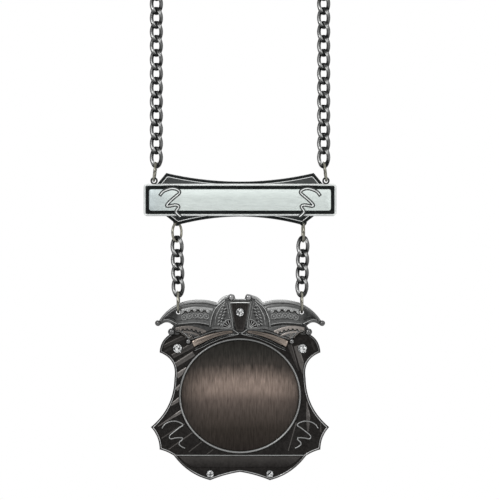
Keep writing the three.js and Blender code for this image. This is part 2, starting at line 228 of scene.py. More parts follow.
def make_rubbed():
    """Patina in the recesses, bare metal on what stands up, and uneven patches between them."""
    group, given, result = open_group(
        "rubbed patina",
        (("Patina", "NodeSocketColor", (0.02, 0.02, 0.02, 1)),
         ("Metal", "NodeSocketColor", (0.3, 0.3, 0.3, 1)),
         ("Unevenness", "NodeSocketFloat", 0.4), ("Patches", "NodeSocketFloat", CAST_PATCHES)),
        (("Colour", "NodeSocketColor"), ("Bare", "NodeSocketFloat")))
    # The value read here is the rub, with painted shade and glints in it on some pieces.
    rub = new_node(group, "ShaderNodeAttribute", attribute_name="rub")
    noise = noise_on_object(group, CAST_PATCHES)
    group.links.new(given.outputs["Patches"], noise.inputs["Scale"])
    swing = arithmetic(group, "SUBTRACT", noise.outputs["Fac"], 0.5)
    swing = arithmetic(group, "MULTIPLY", swing, given.outputs["Unevenness"])
    bare = arithmetic(group, "ADD", rub.outputs["Fac"], swing)
    bare = spread(group, bare, 0.0, 1.0, 0.0, 1.0)
    colour = blend_colours(group, bare, given.outputs["Patina"], given.outputs["Metal"])
    group.links.new(colour, result.inputs["Colour"])
    group.links.new(bare, result.inputs["Bare"])
    return group


def make_brushed():
    """Fine parallel scratches: a shade, and a height for a bump."""
    group, given, result = open_group(
        "brushed lines",
        (("Stretch", "NodeSocketVector", (1, 1, 1)), ("Contrast", "NodeSocketFloat", 1.0)),
        (("Shade", "NodeSocketFloat"), ("Height", "NodeSocketFloat")))
    noise = noise_on_object(group, BRUSH_SCALE, detail=3.0)
    mapping = noise.inputs["Vector"].links[0].from_node
    group.links.new(given.outputs["Stretch"], mapping.inputs["Scale"])
    swing = arithmetic(group, "SUBTRACT", noise.outputs["Fac"], 0.5)
    swing = arithmetic(group, "MULTIPLY", swing, given.outputs["Contrast"])
    shade = arithmetic(group, "ADD", swing, 0.5)
    group.links.new(spread(group, shade, 0.0, 1.0, 0.0, 1.0), result.inputs["Shade"])
    group.links.new(noise.outputs["Fac"], result.inputs["Height"])
    return group


def make_grain():
    """The fine tooth of a casting: a height for a bump and a roughness that varies in clouds."""
    group, given, result = open_group(
        "cast grain",
        (("Smooth", "NodeSocketFloat", 0.3), ("Rough", "NodeSocketFloat", 0.5),
         ("Size", "NodeSocketFloat", CAST_TOOTH)),
        (("Roughness", "NodeSocketFloat"), ("Height", "NodeSocketFloat")))
    tooth = noise_on_object(group, CAST_TOOTH, detail=2.0)
    group.links.new(given.outputs["Size"], tooth.inputs["Scale"])
    clouds = noise_on_object(group, ROUGH_CLOUDS)
    share = spread(group, clouds.outputs["Fac"], 0.3, 0.7, 0.0, 1.0)
    span = arithmetic(group, "SUBTRACT", given.outputs["Rough"], given.outputs["Smooth"])
    step = arithmetic(group, "MULTIPLY", span, share)
    group.links.new(arithmetic(group, "ADD", given.outputs["Smooth"], step), result.inputs["Roughness"])
    group.links.new(tooth.outputs["Fac"], result.inputs["Height"])
    return group


rubbed, brushed, grain = make_rubbed(), make_brushed(), make_grain()
print("finish groups:", rubbed.name, "|", brushed.name, "|", grain.name)

# %% [markdown]
# The castings are dark gunmetal. Its patina is nearly black, its bare metal a mid grey. The visor and the
# lower flaps of the cap keep a warm copper tone. The same recipe serves them all with other colours.

# %% The cast metals
CAST_BUMP = 0.00002


def start_material(name):
    """A new material with its tree and its shader."""
    material = bpy.data.materials.new(name)
    material.use_nodes = True
    tree = material.node_tree
    shader = tree.nodes["Principled BSDF"]
    return material, tree, shader


def place_group(tree, group, **values):
    """Puts a shared finish into a material, with its own values."""
    node = new_node(tree, "ShaderNodeGroup", node_tree=group)
    for label, value in values.items():
        node.inputs[label].default_value = value
    return node


def add_bump(tree, shader, height, distance, strength=1.0):
    """Tilts the surface of a shader by a height."""
    bump = new_node(tree, "ShaderNodeBump")
    bump.inputs["Distance"].default_value = distance
    bump.inputs["Strength"].default_value = strength
    tree.links.new(height, bump.inputs["Height"])
    tree.links.new(bump.outputs["Normal"], shader.inputs["Normal"])


def cast_metal(name, patina, metal, smooth=0.28, rough=0.45, unevenness=0.35):
    """Antique cast metal: patina, bare ridges and a fine tooth."""
    material, tree, shader = start_material(name)
    finish = place_group(tree, rubbed, Patina=(*patina, 1), Metal=(*metal, 1), Unevenness=unevenness)
    tooth = place_group(tree, grain, Smooth=smooth, Rough=rough)
    shader.inputs["Metallic"].default_value = 1
    tree.links.new(finish.outputs["Colour"], shader.inputs["Base Color"])
    tree.links.new(tooth.outputs["Roughness"], shader.inputs["Roughness"])
    add_bump(tree, shader, tooth.outputs["Height"], CAST_BUMP)
    return material


gunmetal = cast_metal("antique gunmetal", (0.020, 0.020, 0.020), (0.31, 0.314, 0.31))
ground_metal = cast_metal("blackened ground", (0.0116, 0.0106, 0.0101), (0.281, 0.263, 0.250), unevenness=0.1)
flap_metal = cast_metal("warm gunmetal", (0.020, 0.0185, 0.017), (0.32, 0.292, 0.27))
visor_metal = cast_metal("coppery visor", (0.028, 0.027, 0.026), (0.29, 0.243, 0.208), unevenness=0.3)
bell_metal = cast_metal("polished bells", (0.03,) * 3, (0.3,) * 3, smooth=0.14, rough=0.22, unevenness=0.1)
edge_metal = cast_metal("bright edge", (0.02,) * 3, (0.8, 0.805, 0.8), unevenness=0.2)
silver = cast_metal("silver rim", (0.22, 0.23, 0.23), (0.80, 0.82, 0.81), smooth=0.3, unevenness=0.1)
black_metal = cast_metal("black enamelled recess", (0.009, 0.0105, 0.0105), (0.10, 0.105, 0.105))
cast_metals = (gunmetal, ground_metal, flap_metal, visor_metal, bell_metal, edge_metal, silver, black_metal)
print("cast metals:", [material.name for material in cast_metals])

# %% [markdown]
# The oval field is brushed from top to bottom, and the light lies across it as one soft band that fades to
# black above and below. The band is a painted highlight: it is painted on the height within the field, bowed
# and shaded darker towards the sides and the right edge, and the scratches make its edges uneven. The plate
# of the name bar is brushed along its length.

# %% The brushed metals
# The ramp holds the dark bronze of the field and its painted highlight band; the dark colour paints shade towards
# the sides and the right edge.
FIELD_SHEEN_RAMP = (
    (0.00, (0.021, 0.0175, 0.0155)), (0.20, (0.032, 0.0265, 0.0225)), (0.37, (0.072, 0.058, 0.050)),
    (0.47, (0.112, 0.088, 0.076)), (0.55, (0.210, 0.163, 0.138)), (0.63, (0.222, 0.173, 0.146)),
    (0.71, (0.130, 0.103, 0.088)), (0.785, (0.050, 0.043, 0.038)), (0.88, (0.030, 0.028, 0.025)),
    (1.00, (0.019, 0.018, 0.016)))
FIELD_SIDE_SHADE = (0.022, 0.020, 0.018)
FIELD_SPAN = 0.024
FIELD_SHEEN_MIDDLE = 0.0015
FIELD_SHEEN_REACH = 0.007
FIELD_SHADE_REACH = 0.0268
FIELD_BOW = 75.0
FIELD_RIGHT_SHADE = (0.0185, 0.0258)
FIELD_FADE = 0.95
FIELD_LINES, FIELD_CLUMPS = (1.6, 1, 0.2), (0.5, 1, 0.2)
FIELD_SHIFT, FIELD_DRIFT = 0.012, 0.018
FIELD_STREAKS = (1.4, 0.6)
FIELD_ROUGHNESS = (0.38, 0.5)
FIELD_BUMP = 0.00002


def brush_field(middle):
    """Dark bronze, brushed upright, with a painted highlight band across it and painted shade towards the sides.
    """
    material, tree, shader = start_material("brushed field")
    lines = place_group(tree, brushed, Stretch=FIELD_LINES, Contrast=2.2)
    clumps = place_group(tree, brushed, Stretch=FIELD_CLUMPS, Contrast=1.5)
    place = new_node(tree, "ShaderNodeTexCoord")
    split = new_node(tree, "ShaderNodeSeparateXYZ")
    tree.links.new(place.outputs["Object"], split.inputs["Vector"])
    shift = spread(tree, lines.outputs["Shade"], 0.0, 1.0, -FIELD_SHIFT, FIELD_SHIFT)
    drift = spread(tree, clumps.outputs["Shade"], 0.0, 1.0, -FIELD_DRIFT, FIELD_DRIFT)
    level = spread(tree, split.outputs["Z"], middle.z - FIELD_SPAN, middle.z + FIELD_SPAN, 0.0, 1.0)
    ramp = new_node(tree, "ShaderNodeValToRGB")
    fill_ramp(ramp, FIELD_SHEEN_RAMP)
    aside = arithmetic(tree, "SUBTRACT", split.outputs["X"], FIELD_SHEEN_MIDDLE)
    bow = arithmetic(tree, "MULTIPLY", arithmetic(tree, "POWER", aside, 2.0), FIELD_BOW)
    level = arithmetic(tree, "ADD", arithmetic(tree, "ADD", level, drift), bow)
    tree.links.new(arithmetic(tree, "ADD", level, shift), ramp.inputs["Fac"])
    reach = arithmetic(tree, "ABSOLUTE", aside, 0.0)
    fade = spread(tree, reach, FIELD_SHEEN_REACH, FIELD_SHADE_REACH, 0.0, FIELD_FADE)
    edge = spread(tree, split.outputs["X"], *FIELD_RIGHT_SHADE, 0.0, 1.0)
    fade = arithmetic(tree, "POWER", arithmetic(tree, "MAXIMUM", fade, edge), 2.0)
    painted_sheen = blend_colours(tree, fade, ramp.outputs["Color"], FIELD_SIDE_SHADE)
    streak = new_node(tree, "ShaderNodeVectorMath", operation="SCALE")
    tree.links.new(painted_sheen, streak.inputs["Vector"])
    tree.links.new(spread(tree, lines.outputs["Shade"], 0.0, 1.0, *FIELD_STREAKS), streak.inputs["Scale"])
    shader.inputs["Metallic"].default_value = 1
    tree.links.new(streak.outputs["Vector"], shader.inputs["Base Color"])
    roughness = spread(tree, lines.outputs["Shade"], 0.0, 1.0, *FIELD_ROUGHNESS)
    tree.links.new(roughness, shader.inputs["Roughness"])
    add_bump(tree, shader, lines.outputs["Height"], FIELD_BUMP)
    return material


PLATE_DARK, PLATE_BRIGHT = (0.45, 0.49, 0.475), (0.57, 0.615, 0.595)
PLATE_END = (0.37, 0.415, 0.425)
PLATE_END_REACH, PLATE_END_SHARE = (-0.026, -0.038), 0.8
PLATE_LINES = (0.25, 1, 1.6)
PLATE_ROUGHNESS = (0.45, 0.58)
PLATE_BUMP = 0.00001


def brush_plate():
    """Pale silver, brushed along its length, a little darker at its left end."""
    material, tree, shader = start_material("brushed plate")
    lines = place_group(tree, brushed, Stretch=PLATE_LINES, Contrast=1.2)
    colour = blend_colours(tree, lines.outputs["Shade"], PLATE_DARK, PLATE_BRIGHT)
    place = new_node(tree, "ShaderNodeTexCoord")
    split = new_node(tree, "ShaderNodeSeparateXYZ")
    tree.links.new(place.outputs["Object"], split.inputs["Vector"])
    share = spread(tree, split.outputs["X"], *PLATE_END_REACH, 0.0, PLATE_END_SHARE)
    colour = blend_colours(tree, share, colour, PLATE_END)
    shader.inputs["Metallic"].default_value = 1
    tree.links.new(colour, shader.inputs["Base Color"])
    roughness = spread(tree, lines.outputs["Shade"], 0.0, 1.0, *PLATE_ROUGHNESS)
    tree.links.new(roughness, shader.inputs["Roughness"])
    add_bump(tree, shader, lines.outputs["Height"], PLATE_BUMP)
    return material


field_metal = brush_field(mounts["emblem_field"])
plate_metal = brush_plate()
print("brushed metals:", field_metal.name, "|", plate_metal.name)

# %% [markdown]
# The wire of the chain is blackened gunmetal, with painted glints where a link comes to the front and painted
# shade where it lies behind its neighbour. The jump rings are of a paler, slightly golden metal. The stones
# are clear and stand in small bright cups, as a foil behind a stone sends the light back; the light and dark
# of their facets is painted.

# %% Wire and stones
WIRE_CLOUDS = 420.0
WIRE_TOOTH = 4000.0
WIRE_BUMP = 0.00001
# The two colours of the painted reflections on the facets.
GLASS_DARK, GLASS_BRIGHT = (0.03, 0.032, 0.034), (0.82, 0.83, 0.83)
GLASS_CLEARNESS = 0.35
GLASS_IOR = 1.8


def wire_with_painted_glints(name, patina, metal, smooth, rough):
    """Wire with painted shade where it lies behind its neighbour and painted glints where it comes to the front.
    """
    material, tree, shader = start_material(name)
    colours = {"Patina": (*patina, 1), "Metal": (*metal, 1)}
    finish = place_group(tree, rubbed, **colours, Unevenness=0.2, Patches=WIRE_CLOUDS)
    tooth = place_group(tree, grain, Smooth=smooth, Rough=rough, Size=WIRE_TOOTH)
    shader.inputs["Metallic"].default_value = 1
    tree.links.new(finish.outputs["Colour"], shader.inputs["Base Color"])
    tree.links.new(tooth.outputs["Roughness"], shader.inputs["Roughness"])
    add_bump(tree, shader, tooth.outputs["Height"], WIRE_BUMP)
    return material


def wire_metal(name, dark, bright, smooth, rough):
    """Drawn wire: two shades in clouds, and a roughness to match."""
    material, tree, shader = start_material(name)
    clouds = noise_on_object(tree, WIRE_CLOUDS)
    share = spread(tree, clouds.outputs["Fac"], 0.35, 0.65, 0.0, 1.0)
    tooth = place_group(tree, grain, Smooth=smooth, Rough=rough, Size=WIRE_TOOTH)
    shader.inputs["Metallic"].default_value = 1
    tree.links.new(blend_colours(tree, share, dark, bright), shader.inputs["Base Color"])
    tree.links.new(tooth.outputs["Roughness"], shader.inputs["Roughness"])
    add_bump(tree, shader, tooth.outputs["Height"], WIRE_BUMP)
    return material


def cut_glass():
    """Clear glass with painted reflections: the value that each facet carries paints it lighter or darker."""
    material, tree, shader = start_material("clear crystal")
    tooth = place_group(tree, grain, Smooth=0.0, Rough=0.06)
    facet = new_node(tree, "ShaderNodeAttribute", attribute_name="facet")
    colour = blend_colours(tree, facet.outputs["Fac"], GLASS_DARK, GLASS_BRIGHT)
    tree.links.new(colour, shader.inputs["Base Color"])
    shader.inputs["Transmission Weight"].default_value = GLASS_CLEARNESS
    shader.inputs["IOR"].default_value = GLASS_IOR
    tree.links.new(tooth.outputs["Roughness"], shader.inputs["Roughness"])
    return material


# The dark colour is the blackened wire and its painted shade, the near-white one the painted glints.
chain_wire = wire_with_painted_glints("darkened wire", (0.0095, 0.010, 0.010), (0.95, 0.96, 0.95), 0.18, 0.3)
ring_wire = wire_metal("pale ring wire", (0.12, 0.117, 0.095), (0.28, 0.272, 0.23), 0.16, 0.28)
foil = wire_metal("foil cup", (0.62, 0.63, 0.64), (0.95, 0.95, 0.95), 0.12, 0.25)
crystal = cut_glass()
print("wire and stones:", chain_wire.name, "|", ring_wire.name, "|", foil.name, "|", crystal.name)

# %% [markdown]
# Every form of the relief is drawn once, from the front, as a short table of corners in millimetres: x to the
# right, z up, and a sag that bows the edge before the corner outwards. A casting gathers all surfaces of one
# piece. Its points are (x, z, height), with the height towards the viewer, and it can add the mirror image.

# %% Drawing tables and castings
STEP = 0.4
SHARP_ANGLE = math.radians(38)


def trace(rows, step=STEP):
    """Follows a table of corners and gives points about one step apart."""
    points = []
    for (x0, z0, _), (x1, z1, sag) in zip(rows, rows[1:]):
        chord = math.hypot(x1 - x0, z1 - z0)
        count = max(1, round(chord / step))
        for i in range(count):
            t = i / count
            bow = 4 * sag * t * (1 - t) / chord
            points.append((x0 + (x1 - x0) * t - (z1 - z0) * bow, z0 + (z1 - z0) * t + (x1 - x0) * bow))
    points.append(tuple(rows[-1][:2]))
    return points


def both_halves(rows):
    """The closed outline of a form that is drawn by its right half, from the top down."""
    right = trace(rows)
    left = [(-x, z) for x, z in reversed(right) if x > STEP / 4]
    return right + left


def ellipse(half_width, half_height, count, x=0.0, z=0.0):
    """Points clockwise round an ellipse."""
    angles = np.linspace(0, 2 * math.pi, count, endpoint=False)
    return [(x + half_width * math.sin(a), z + half_height * math.cos(a)) for a in angles]


class Casting:
    """Gathers the surfaces of one casting, with a finish for each face and a rub for each point."""

    def __init__(self):
        self.points, self.faces, self.rubs, self.finishes = [], [], [], []

    def add(self, surface, finish, mirrored=False, other=1.0):
        """Adds a surface, and if asked its mirror image with a share of its rub."""
        points, faces, rubs = surface
        for side, share in ((1, 1.0), (-1, other)) if mirrored else ((1, 1.0),):
            first = len(self.points)
            self.points += [(side * x, z, h) for x, z, h in points]
            self.faces += [tuple(first + i for i in face) for face in faces]
            self.rubs += [rub * share for rub in rubs]
            self.finishes += [finish] * len(faces)

    def make(self, name, middle):
        """Turns the casting into one object, placed from a middle in the frame."""
        mesh = bpy.data.meshes.new(name)
        places = [(middle.x + x * MM, middle.y - h * MM, middle.z + z * MM) for x, z, h in self.points]
        mesh.from_pydata(places, [], self.faces)
        finishes = list(dict.fromkeys(self.finishes))
        for finish in finishes:
            mesh.materials.append(finish)
        mesh.polygons.foreach_set("material_index", [finishes.index(finish) for finish in self.finishes])
        rub = mesh.attributes.new("rub", "FLOAT", "POINT")
        rub.data.foreach_set("value", np.clip(self.rubs, 0, 1).astype(np.float32))
        turn_outwards(mesh)
        return show(mesh)


def turn_outwards(mesh):
    """Points all faces of closed shells outwards and smooths what isn't an edge."""
    shell = bmesh.new()
    shell.from_mesh(mesh)
    bmesh.ops.recalc_face_normals(shell, faces=shell.faces)
    shell.to_mesh(mesh)
    shell.free()
    mesh.shade_smooth()
    mesh.set_sharp_from_angle(angle=SHARP_ANGLE)


def show(mesh):
    """Puts a mesh into the scene as an object at the origin."""
    piece = bpy.data.objects.new(mesh.name, mesh)
    bpy.context.scene.collection.objects.link(piece)
    return piece


def hung(level):
    """The middle of the picture's plane at a level: the castings hang in the plane of the hinges."""
    return Vector((0, joints["bar_swing"].y, level))


print("castings hang at y =", round(hung(0).y, 4))

# %% [markdown]
# A panel is a form with a flat or domed top, a moulded edge, a wall round it and a plain back. Its edge
# follows a section, rows of distance in from the outline and height. The outline, copies of it moved inwards
# and a grid of inner points are joined into triangles by a constrained Delaunay triangulation, so the
# moulding follows any outline.

# %% Panels
GRID = 0.9
HOLE_CORNERS = 24
BACK_RUB = 0.3
GRID_ROWS = 0.866
KEPT_REACH = 0.96


def measure(points, outline):
    """The distance from each point to the nearest edge of a closed outline."""
    start = np.asarray(outline)
    along = np.roll(start, -1, axis=0) - start
    square = np.maximum((along ** 2).sum(1), 1e-12)
    nearest = []
    for place in np.asarray(points):
        t = np.clip(((place - start) * along).sum(1) / square, 0, 1)
        gap = start + along * t[:, None] - place
        nearest.append(math.sqrt((gap ** 2).sum(1).min()))
    return np.array(nearest)


def inside(points, outline):
    """Whether each point lies inside a closed outline."""
    x, z = np.asarray(points).T
    crossings = np.zeros(len(x), int)
    for (x0, z0), (x1, z1) in zip(outline, [*outline[1:], outline[0]]):
        if z0 != z1:
            spans = (z0 > z) != (z1 > z)
            crossings += spans & (x < x0 + (z - z0) * (x1 - x0) / (z1 - z0))
    return crossings % 2 == 1


def moved_in(outline, distance):
    """An outline's points moved inwards, without those that come too near another edge."""
    places = np.asarray(outline)
    along = np.roll(places, -1, axis=0) - np.roll(places, 1, axis=0)
    along /= np.linalg.norm(along, axis=1)[:, None]
    inner = places + np.stack([along[:, 1], -along[:, 0]], axis=1) * distance
    kept = inside(inner, outline) & (measure(inner, outline) > KEPT_REACH * distance)
    return [tuple(place) for place in inner[kept]]


def inner_grid(outline, spacing, margin):
    """Points of a triangular grid inside an outline."""
    low, high = np.min(outline, axis=0), np.max(outline, axis=0)
    rows = np.arange(low[1], high[1], spacing * GRID_ROWS)
    columns = np.arange(low[0], high[0], spacing)
    grid = np.array([(x + (i % 2) * spacing / 2, z) for i, z in enumerate(rows) for x in columns])
    grid = grid[inside(grid, outline)]
    return [tuple(place) for place in grid[measure(grid, outline) > margin]] if len(grid) else []


def triangles(outline, holes, extra):
    """Joins an outline, its holes and extra points into triangles."""
    places, edges = [], []
    for line in (outline, *holes):
        first = len(places)
        places += [Vector(place) for place in line]
        edges += [(first + i, first + (i + 1) % len(line)) for i in range(len(line))]
    places += [Vector(place) for place in extra]
    made, _, faces, *_ = geometry.delaunay_2d_cdt(places, edges, [], 1, 1e-6)
    made = [tuple(place) for place in made]
    middles = [np.mean([made[i] for i in face], axis=0) for face in faces]
    kept = inside(middles, outline)
    for hole in holes:
        kept &= ~inside(middles, hole)
    return made, [face for face, keep in zip(faces, kept) if keep]


def rim_edges(faces):
    """The edges that belong to one face only."""
    seen = {}
    for face in faces:
        for a, b in zip(face, [*face[1:], face[0]]):
            seen.setdefault(frozenset((a, b)), []).append((a, b))
    return [edges[0] for edges in seen.values() if len(edges) == 1]


def panel(outline, section, foot, rubs, dome=0.0, holes=(), spacing=GRID, sunk=None, fade=None):
    """A moulded panel: section rows are (distance in, height), and rubs has a rub for each row."""
    distances, heights = zip(*section)
    extra = [place for distance in distances[1:] for place in moved_in(outline, distance)]
    extra += inner_grid(outline, spacing, distances[-1] + spacing / 2)
    extra = [place for place in extra if not any(inside([place], hole)[0] for hole in holes)]
    made, faces = triangles(outline, holes, extra)
    reach = measure(made, outline)
    height = np.interp(reach, distances, heights)
    height += dome * np.sin(np.clip(reach / reach.max(), 0, 1) * math.pi / 2)
    if sunk:
        height = sunk(np.array(made), height)
    points = [(x, z, h) for (x, z), h in zip(made, height)]
    shades = np.interp(reach, distances, rubs)
    shades = list(fade(np.array(made), shades) if fade else shades)
    walls, low = [], {}
    for a, b in rim_edges(faces):
        for corner in (a, b):
            if corner not in low:
                low[corner] = len(points)
                points.append((*made[corner], foot))
                shades.append(BACK_RUB)
        walls.append((b, a, low[a], low[b]))
    under = [tuple(low[i] for i in face) for face in base_faces(made, low, outline, holes)]
    return points, [*faces, *walls, *under], shades


def base_faces(made, low, outline, holes):
    """Triangles between the rim points alone, to close a panel from below."""
    where = {(round(made[i][0], 4), round(made[i][1], 4)): i for i in low}
    flat, faces = triangles(outline, holes, [])
    found = [where.get((round(x, 4), round(z, 4))) for x, z in flat]
    return [[found[i] for i in face] for face in faces if all(found[i] is not None for i in face)]


print("panel grid:", GRID, "mm")

# %% [markdown]
# Rims, streamers and fine lines are mouldings: a section of (offset to the right, height) swept along a path.
# A rounded ridge has half an ellipse as its section. At a corner the section is stretched along the mitre.

# %% Mouldings
MITRE_LIMIT = 1.8
RIDGE_ROUNDNESS = 0.8
RIDGE_FOOT_RUB = 0.15
BEVEL_RUB = 0.7


def smooth_path(corners, step=0.25):
    """A Catmull-Rom curve through corners."""
    places = np.asarray(corners, float)
    padded = np.vstack([2 * places[0] - places[1], places, 2 * places[-1] - places[-2]])
    points = []
    for a, b, c, d in zip(padded, padded[1:], padded[2:], padded[3:]):
        count = max(2, round(np.linalg.norm(c - b) / step))
        for t in np.linspace(0, 1, count, endpoint=False):
            points.append(0.5 * (2 * b + (c - a) * t + (2 * a - 5 * b + 4 * c - d) * t ** 2
                                 + (3 * b - a - 3 * c + d) * t ** 3))
    return [tuple(place) for place in (*points, places[-1])]


def sides_of(path, closed):
    """At each point of a path: the unit vector to its right, stretched along the mitre."""
    places = np.asarray(path, float)
    forward = np.roll(places, -1, axis=0) - places
    if not closed:
        forward[-1] = forward[-2]
    forward /= np.linalg.norm(forward, axis=1)[:, None]
    before = np.roll(forward, 1, axis=0)
    if not closed:
        before[0] = forward[0]
    mean = forward + before
    mean /= np.linalg.norm(mean, axis=1)[:, None]
    stretch = np.clip(1 / np.maximum((mean * forward).sum(1), 0.2), 1, MITRE_LIMIT)
    return np.stack([mean[:, 1], -mean[:, 0]], axis=1) * stretch[:, None]


def moulding(path, section, rubs, closed=False, widths=None):
    """Sweeps a section along a path; widths scale its offsets from point to point."""
    sides = sides_of(path, closed)
    widths = np.ones(len(path)) if widths is None else widths
    points, shades, faces = [], [], []
    for place, side, width in zip(np.asarray(path, float), sides, widths):
        for (offset, height), rub in zip(section, rubs):
            x, z = place + side * offset * width
            points.append((x, z, height))
            shades.append(rub)
    count, size = len(path), len(section)
    for i in range(count if closed else count - 1):
        for j in range(size):
            k, n = (i + 1) % count, (j + 1) % size
            faces.append((i * size + j, i * size + n, k * size + n, k * size + j))
    if not closed:
        faces.append(tuple(range(size)))
        faces.append(tuple((count - 1) * size + j for j in reversed(range(size))))
    return points, faces, shades


def ridge(path, width, foot, top, closed=False, widths=None, rub=1.0, steps=7):
    """A rounded line that stands on the ground."""
    angles = np.linspace(math.pi, 0, steps)
    rises = [math.sin(a) ** RIDGE_ROUNDNESS for a in angles]
    section = [(math.cos(a) * width / 2, foot + (top - foot) * rise) for a, rise in zip(angles, rises)]
    rubs = [rub * (RIDGE_FOOT_RUB + (1 - RIDGE_FOOT_RUB) * math.sin(a)) for a in angles]
    return moulding(path, section, rubs, closed, widths)


def band(path, width, foot, top, bevel=0.15, closed=False, widths=None, rub=1.0):
    """A flat line with a small bevel along both edges."""
    half = width / 2
    section = [(-half, foot), (-half, top - bevel), (-half + bevel, top), (half - bevel, top),
               (half, top - bevel), (half, foot)]
    rubs = [0, BEVEL_RUB * rub, rub, rub, BEVEL_RUB * rub, 0]
    return moulding(path, section, rubs, closed, widths)


print("mouldings ready")

# %% [markdown]
# Scallops, rosettes, the strands of the cord and the links of the chains all stand in a row along a path. One
# Geometry Nodes tree makes every such row. The path is a line mesh that carries an attribute, back, the way
# the back of each ornament looks. The tree places a count of copies at equal steps, with their Z along the
# path and their Y towards the back, and makes them one real mesh.

# %% Rows along a path
ROW_SOCKETS = (
    ("Path", "INPUT", "NodeSocketGeometry"), ("Ornament", "INPUT", "NodeSocketObject"),
    ("Count", "INPUT", "NodeSocketInt"), ("Finish", "INPUT", "NodeSocketMaterial"),
    ("Row", "OUTPUT", "NodeSocketGeometry"))


def make_row_tree():
    """The tree that sets copies of an ornament along a path."""
    tree = bpy.data.node_groups.new("row along a path", "GeometryNodeTree")
    tree.is_modifier = True
    for label, way, kind in ROW_SOCKETS:
        tree.interface.new_socket(label, in_out=way, socket_type=kind)
    given = new_node(tree, "NodeGroupInput")
    curve = new_node(tree, "GeometryNodeMeshToCurve")
    even = new_node(tree, "GeometryNodeResampleCurve", mode="COUNT")
    tangent = new_node(tree, "GeometryNodeInputTangent")
    back = new_node(tree, "GeometryNodeInputNamedAttribute", data_type="FLOAT_VECTOR")
    back.inputs["Name"].default_value = "back"
    along = new_node(tree, "FunctionNodeAlignRotationToVector", axis="Z")
    turned = new_node(tree, "FunctionNodeAlignRotationToVector", axis="Y", pivot_axis="Z")
    source = new_node(tree, "GeometryNodeObjectInfo", transform_space="ORIGINAL")
    copies = new_node(tree, "GeometryNodeInstanceOnPoints")
    real = new_node(tree, "GeometryNodeRealizeInstances")
    paint = new_node(tree, "GeometryNodeSetMaterial")
    result = new_node(tree, "NodeGroupOutput")
    join = tree.links.new
    join(given.outputs["Path"], curve.inputs["Mesh"])
    join(curve.outputs["Curve"], even.inputs["Curve"])
    join(given.outputs["Count"], even.inputs["Count"])
    join(tangent.outputs["Tangent"], along.inputs["Vector"])
    join(along.outputs["Rotation"], turned.inputs["Rotation"])
    join(back.outputs["Attribute"], turned.inputs["Vector"])
    join(given.outputs["Ornament"], source.inputs["Object"])
    join(even.outputs["Curve"], copies.inputs["Points"])
    join(source.outputs["Geometry"], copies.inputs["Instance"])
    join(turned.outputs["Rotation"], copies.inputs["Rotation"])
    join(copies.outputs["Instances"], real.inputs["Geometry"])
    join(real.outputs["Geometry"], paint.inputs["Geometry"])
    join(given.outputs["Finish"], paint.inputs["Material"])
    join(paint.outputs["Geometry"], result.inputs["Row"])
    return tree


row_tree = make_row_tree()
row_keys = {item.name: item.identifier for item in row_tree.interface.items_tree}


def grow_row(path, backs, ornament, count, finish):
    """Runs the tree on a path and gives the row as a plain mesh."""
    line = bpy.data.meshes.new("row path")
    line.from_pydata([tuple(place) for place in path], [(i, i + 1) for i in range(len(path) - 1)], [])
    back = line.attributes.new("back", "FLOAT_VECTOR", "POINT")
    back.data.foreach_set("vector", np.asarray(backs, np.float32).ravel())
    holder = show(line)
    modifier = holder.modifiers.new("row", "NODES")
    modifier.node_group = row_tree
    modifier[row_keys["Ornament"]] = ornament
    modifier[row_keys["Count"]] = count
    modifier[row_keys["Finish"]] = finish
    grown = holder.evaluated_get(bpy.context.evaluated_depsgraph_get())
    mesh = bpy.data.meshes.new_from_object(grown)
    bpy.data.objects.remove(holder)
    return mesh


def keep_ornament(name, points, faces):
    """An ornament as a hidden object that rows can copy."""
    mesh = bpy.data.meshes.new(name)
    mesh.from_pydata(points, [], faces)
    turn_outwards(mesh)
    return bpy.data.objects.new(name, mesh)


print("row sockets:", list(row_keys))

# %% [markdown]
# The ornaments of the cap are small bosses and rings. Both are made once, in millimetres, with their height
# towards -Y. A row of them is then lifted to the level of its panel and joined to the casting.

# %% Small ornaments
BOSS_RINGS = 4
BOSS_CORNERS = 12
ROSETTE_CORNERS = 16
ROSETTE_BOSS, ROSETTE_RISE = 0.9, 1.1


def boss(length, width, height, slant=0.0):
    """A rounded boss on its base: length along the row, width across it, turned by a slant."""
    points, faces = [(0, -height, 0)], []
    for ring in range(1, BOSS_RINGS + 1):
        t = ring / BOSS_RINGS * math.pi / 2
        for corner in range(BOSS_CORNERS):
            a = corner / BOSS_CORNERS * 2 * math.pi
            x, z = math.cos(a) * math.sin(t) * width / 2, math.sin(a) * math.sin(t) * length / 2
            points.append((x * math.cos(slant) - z * math.sin(slant), -height * math.cos(t),
                           x * math.sin(slant) + z * math.cos(slant)))
    for corner in range(BOSS_CORNERS):
        after = (corner + 1) % BOSS_CORNERS
        faces.append((0, 1 + corner, 1 + after))
        for ring in range(BOSS_RINGS - 1):
            low, high = 1 + ring * BOSS_CORNERS, 1 + (ring + 1) * BOSS_CORNERS
            faces.append((low + corner, high + corner, high + after, low + after))
    faces.append(tuple(1 + (BOSS_RINGS - 1) * BOSS_CORNERS + corner for corner in range(BOSS_CORNERS)))
    return points, faces


def rosette(radius, wire, height):
    """A ring with a round boss in its middle."""
    circle = ellipse(radius, radius, ROSETTE_CORNERS)
    points, faces, _ = ridge(circle, wire, 0, height, closed=True, steps=5)
    points = [(x, -h, z) for x, z, h in points]
    first = len(points)
    dot, dot_faces = boss(radius * ROSETTE_BOSS, radius * ROSETTE_BOSS, height * ROSETTE_RISE)
    return points + dot, faces + [tuple(first + i for i in face) for face in dot_faces]


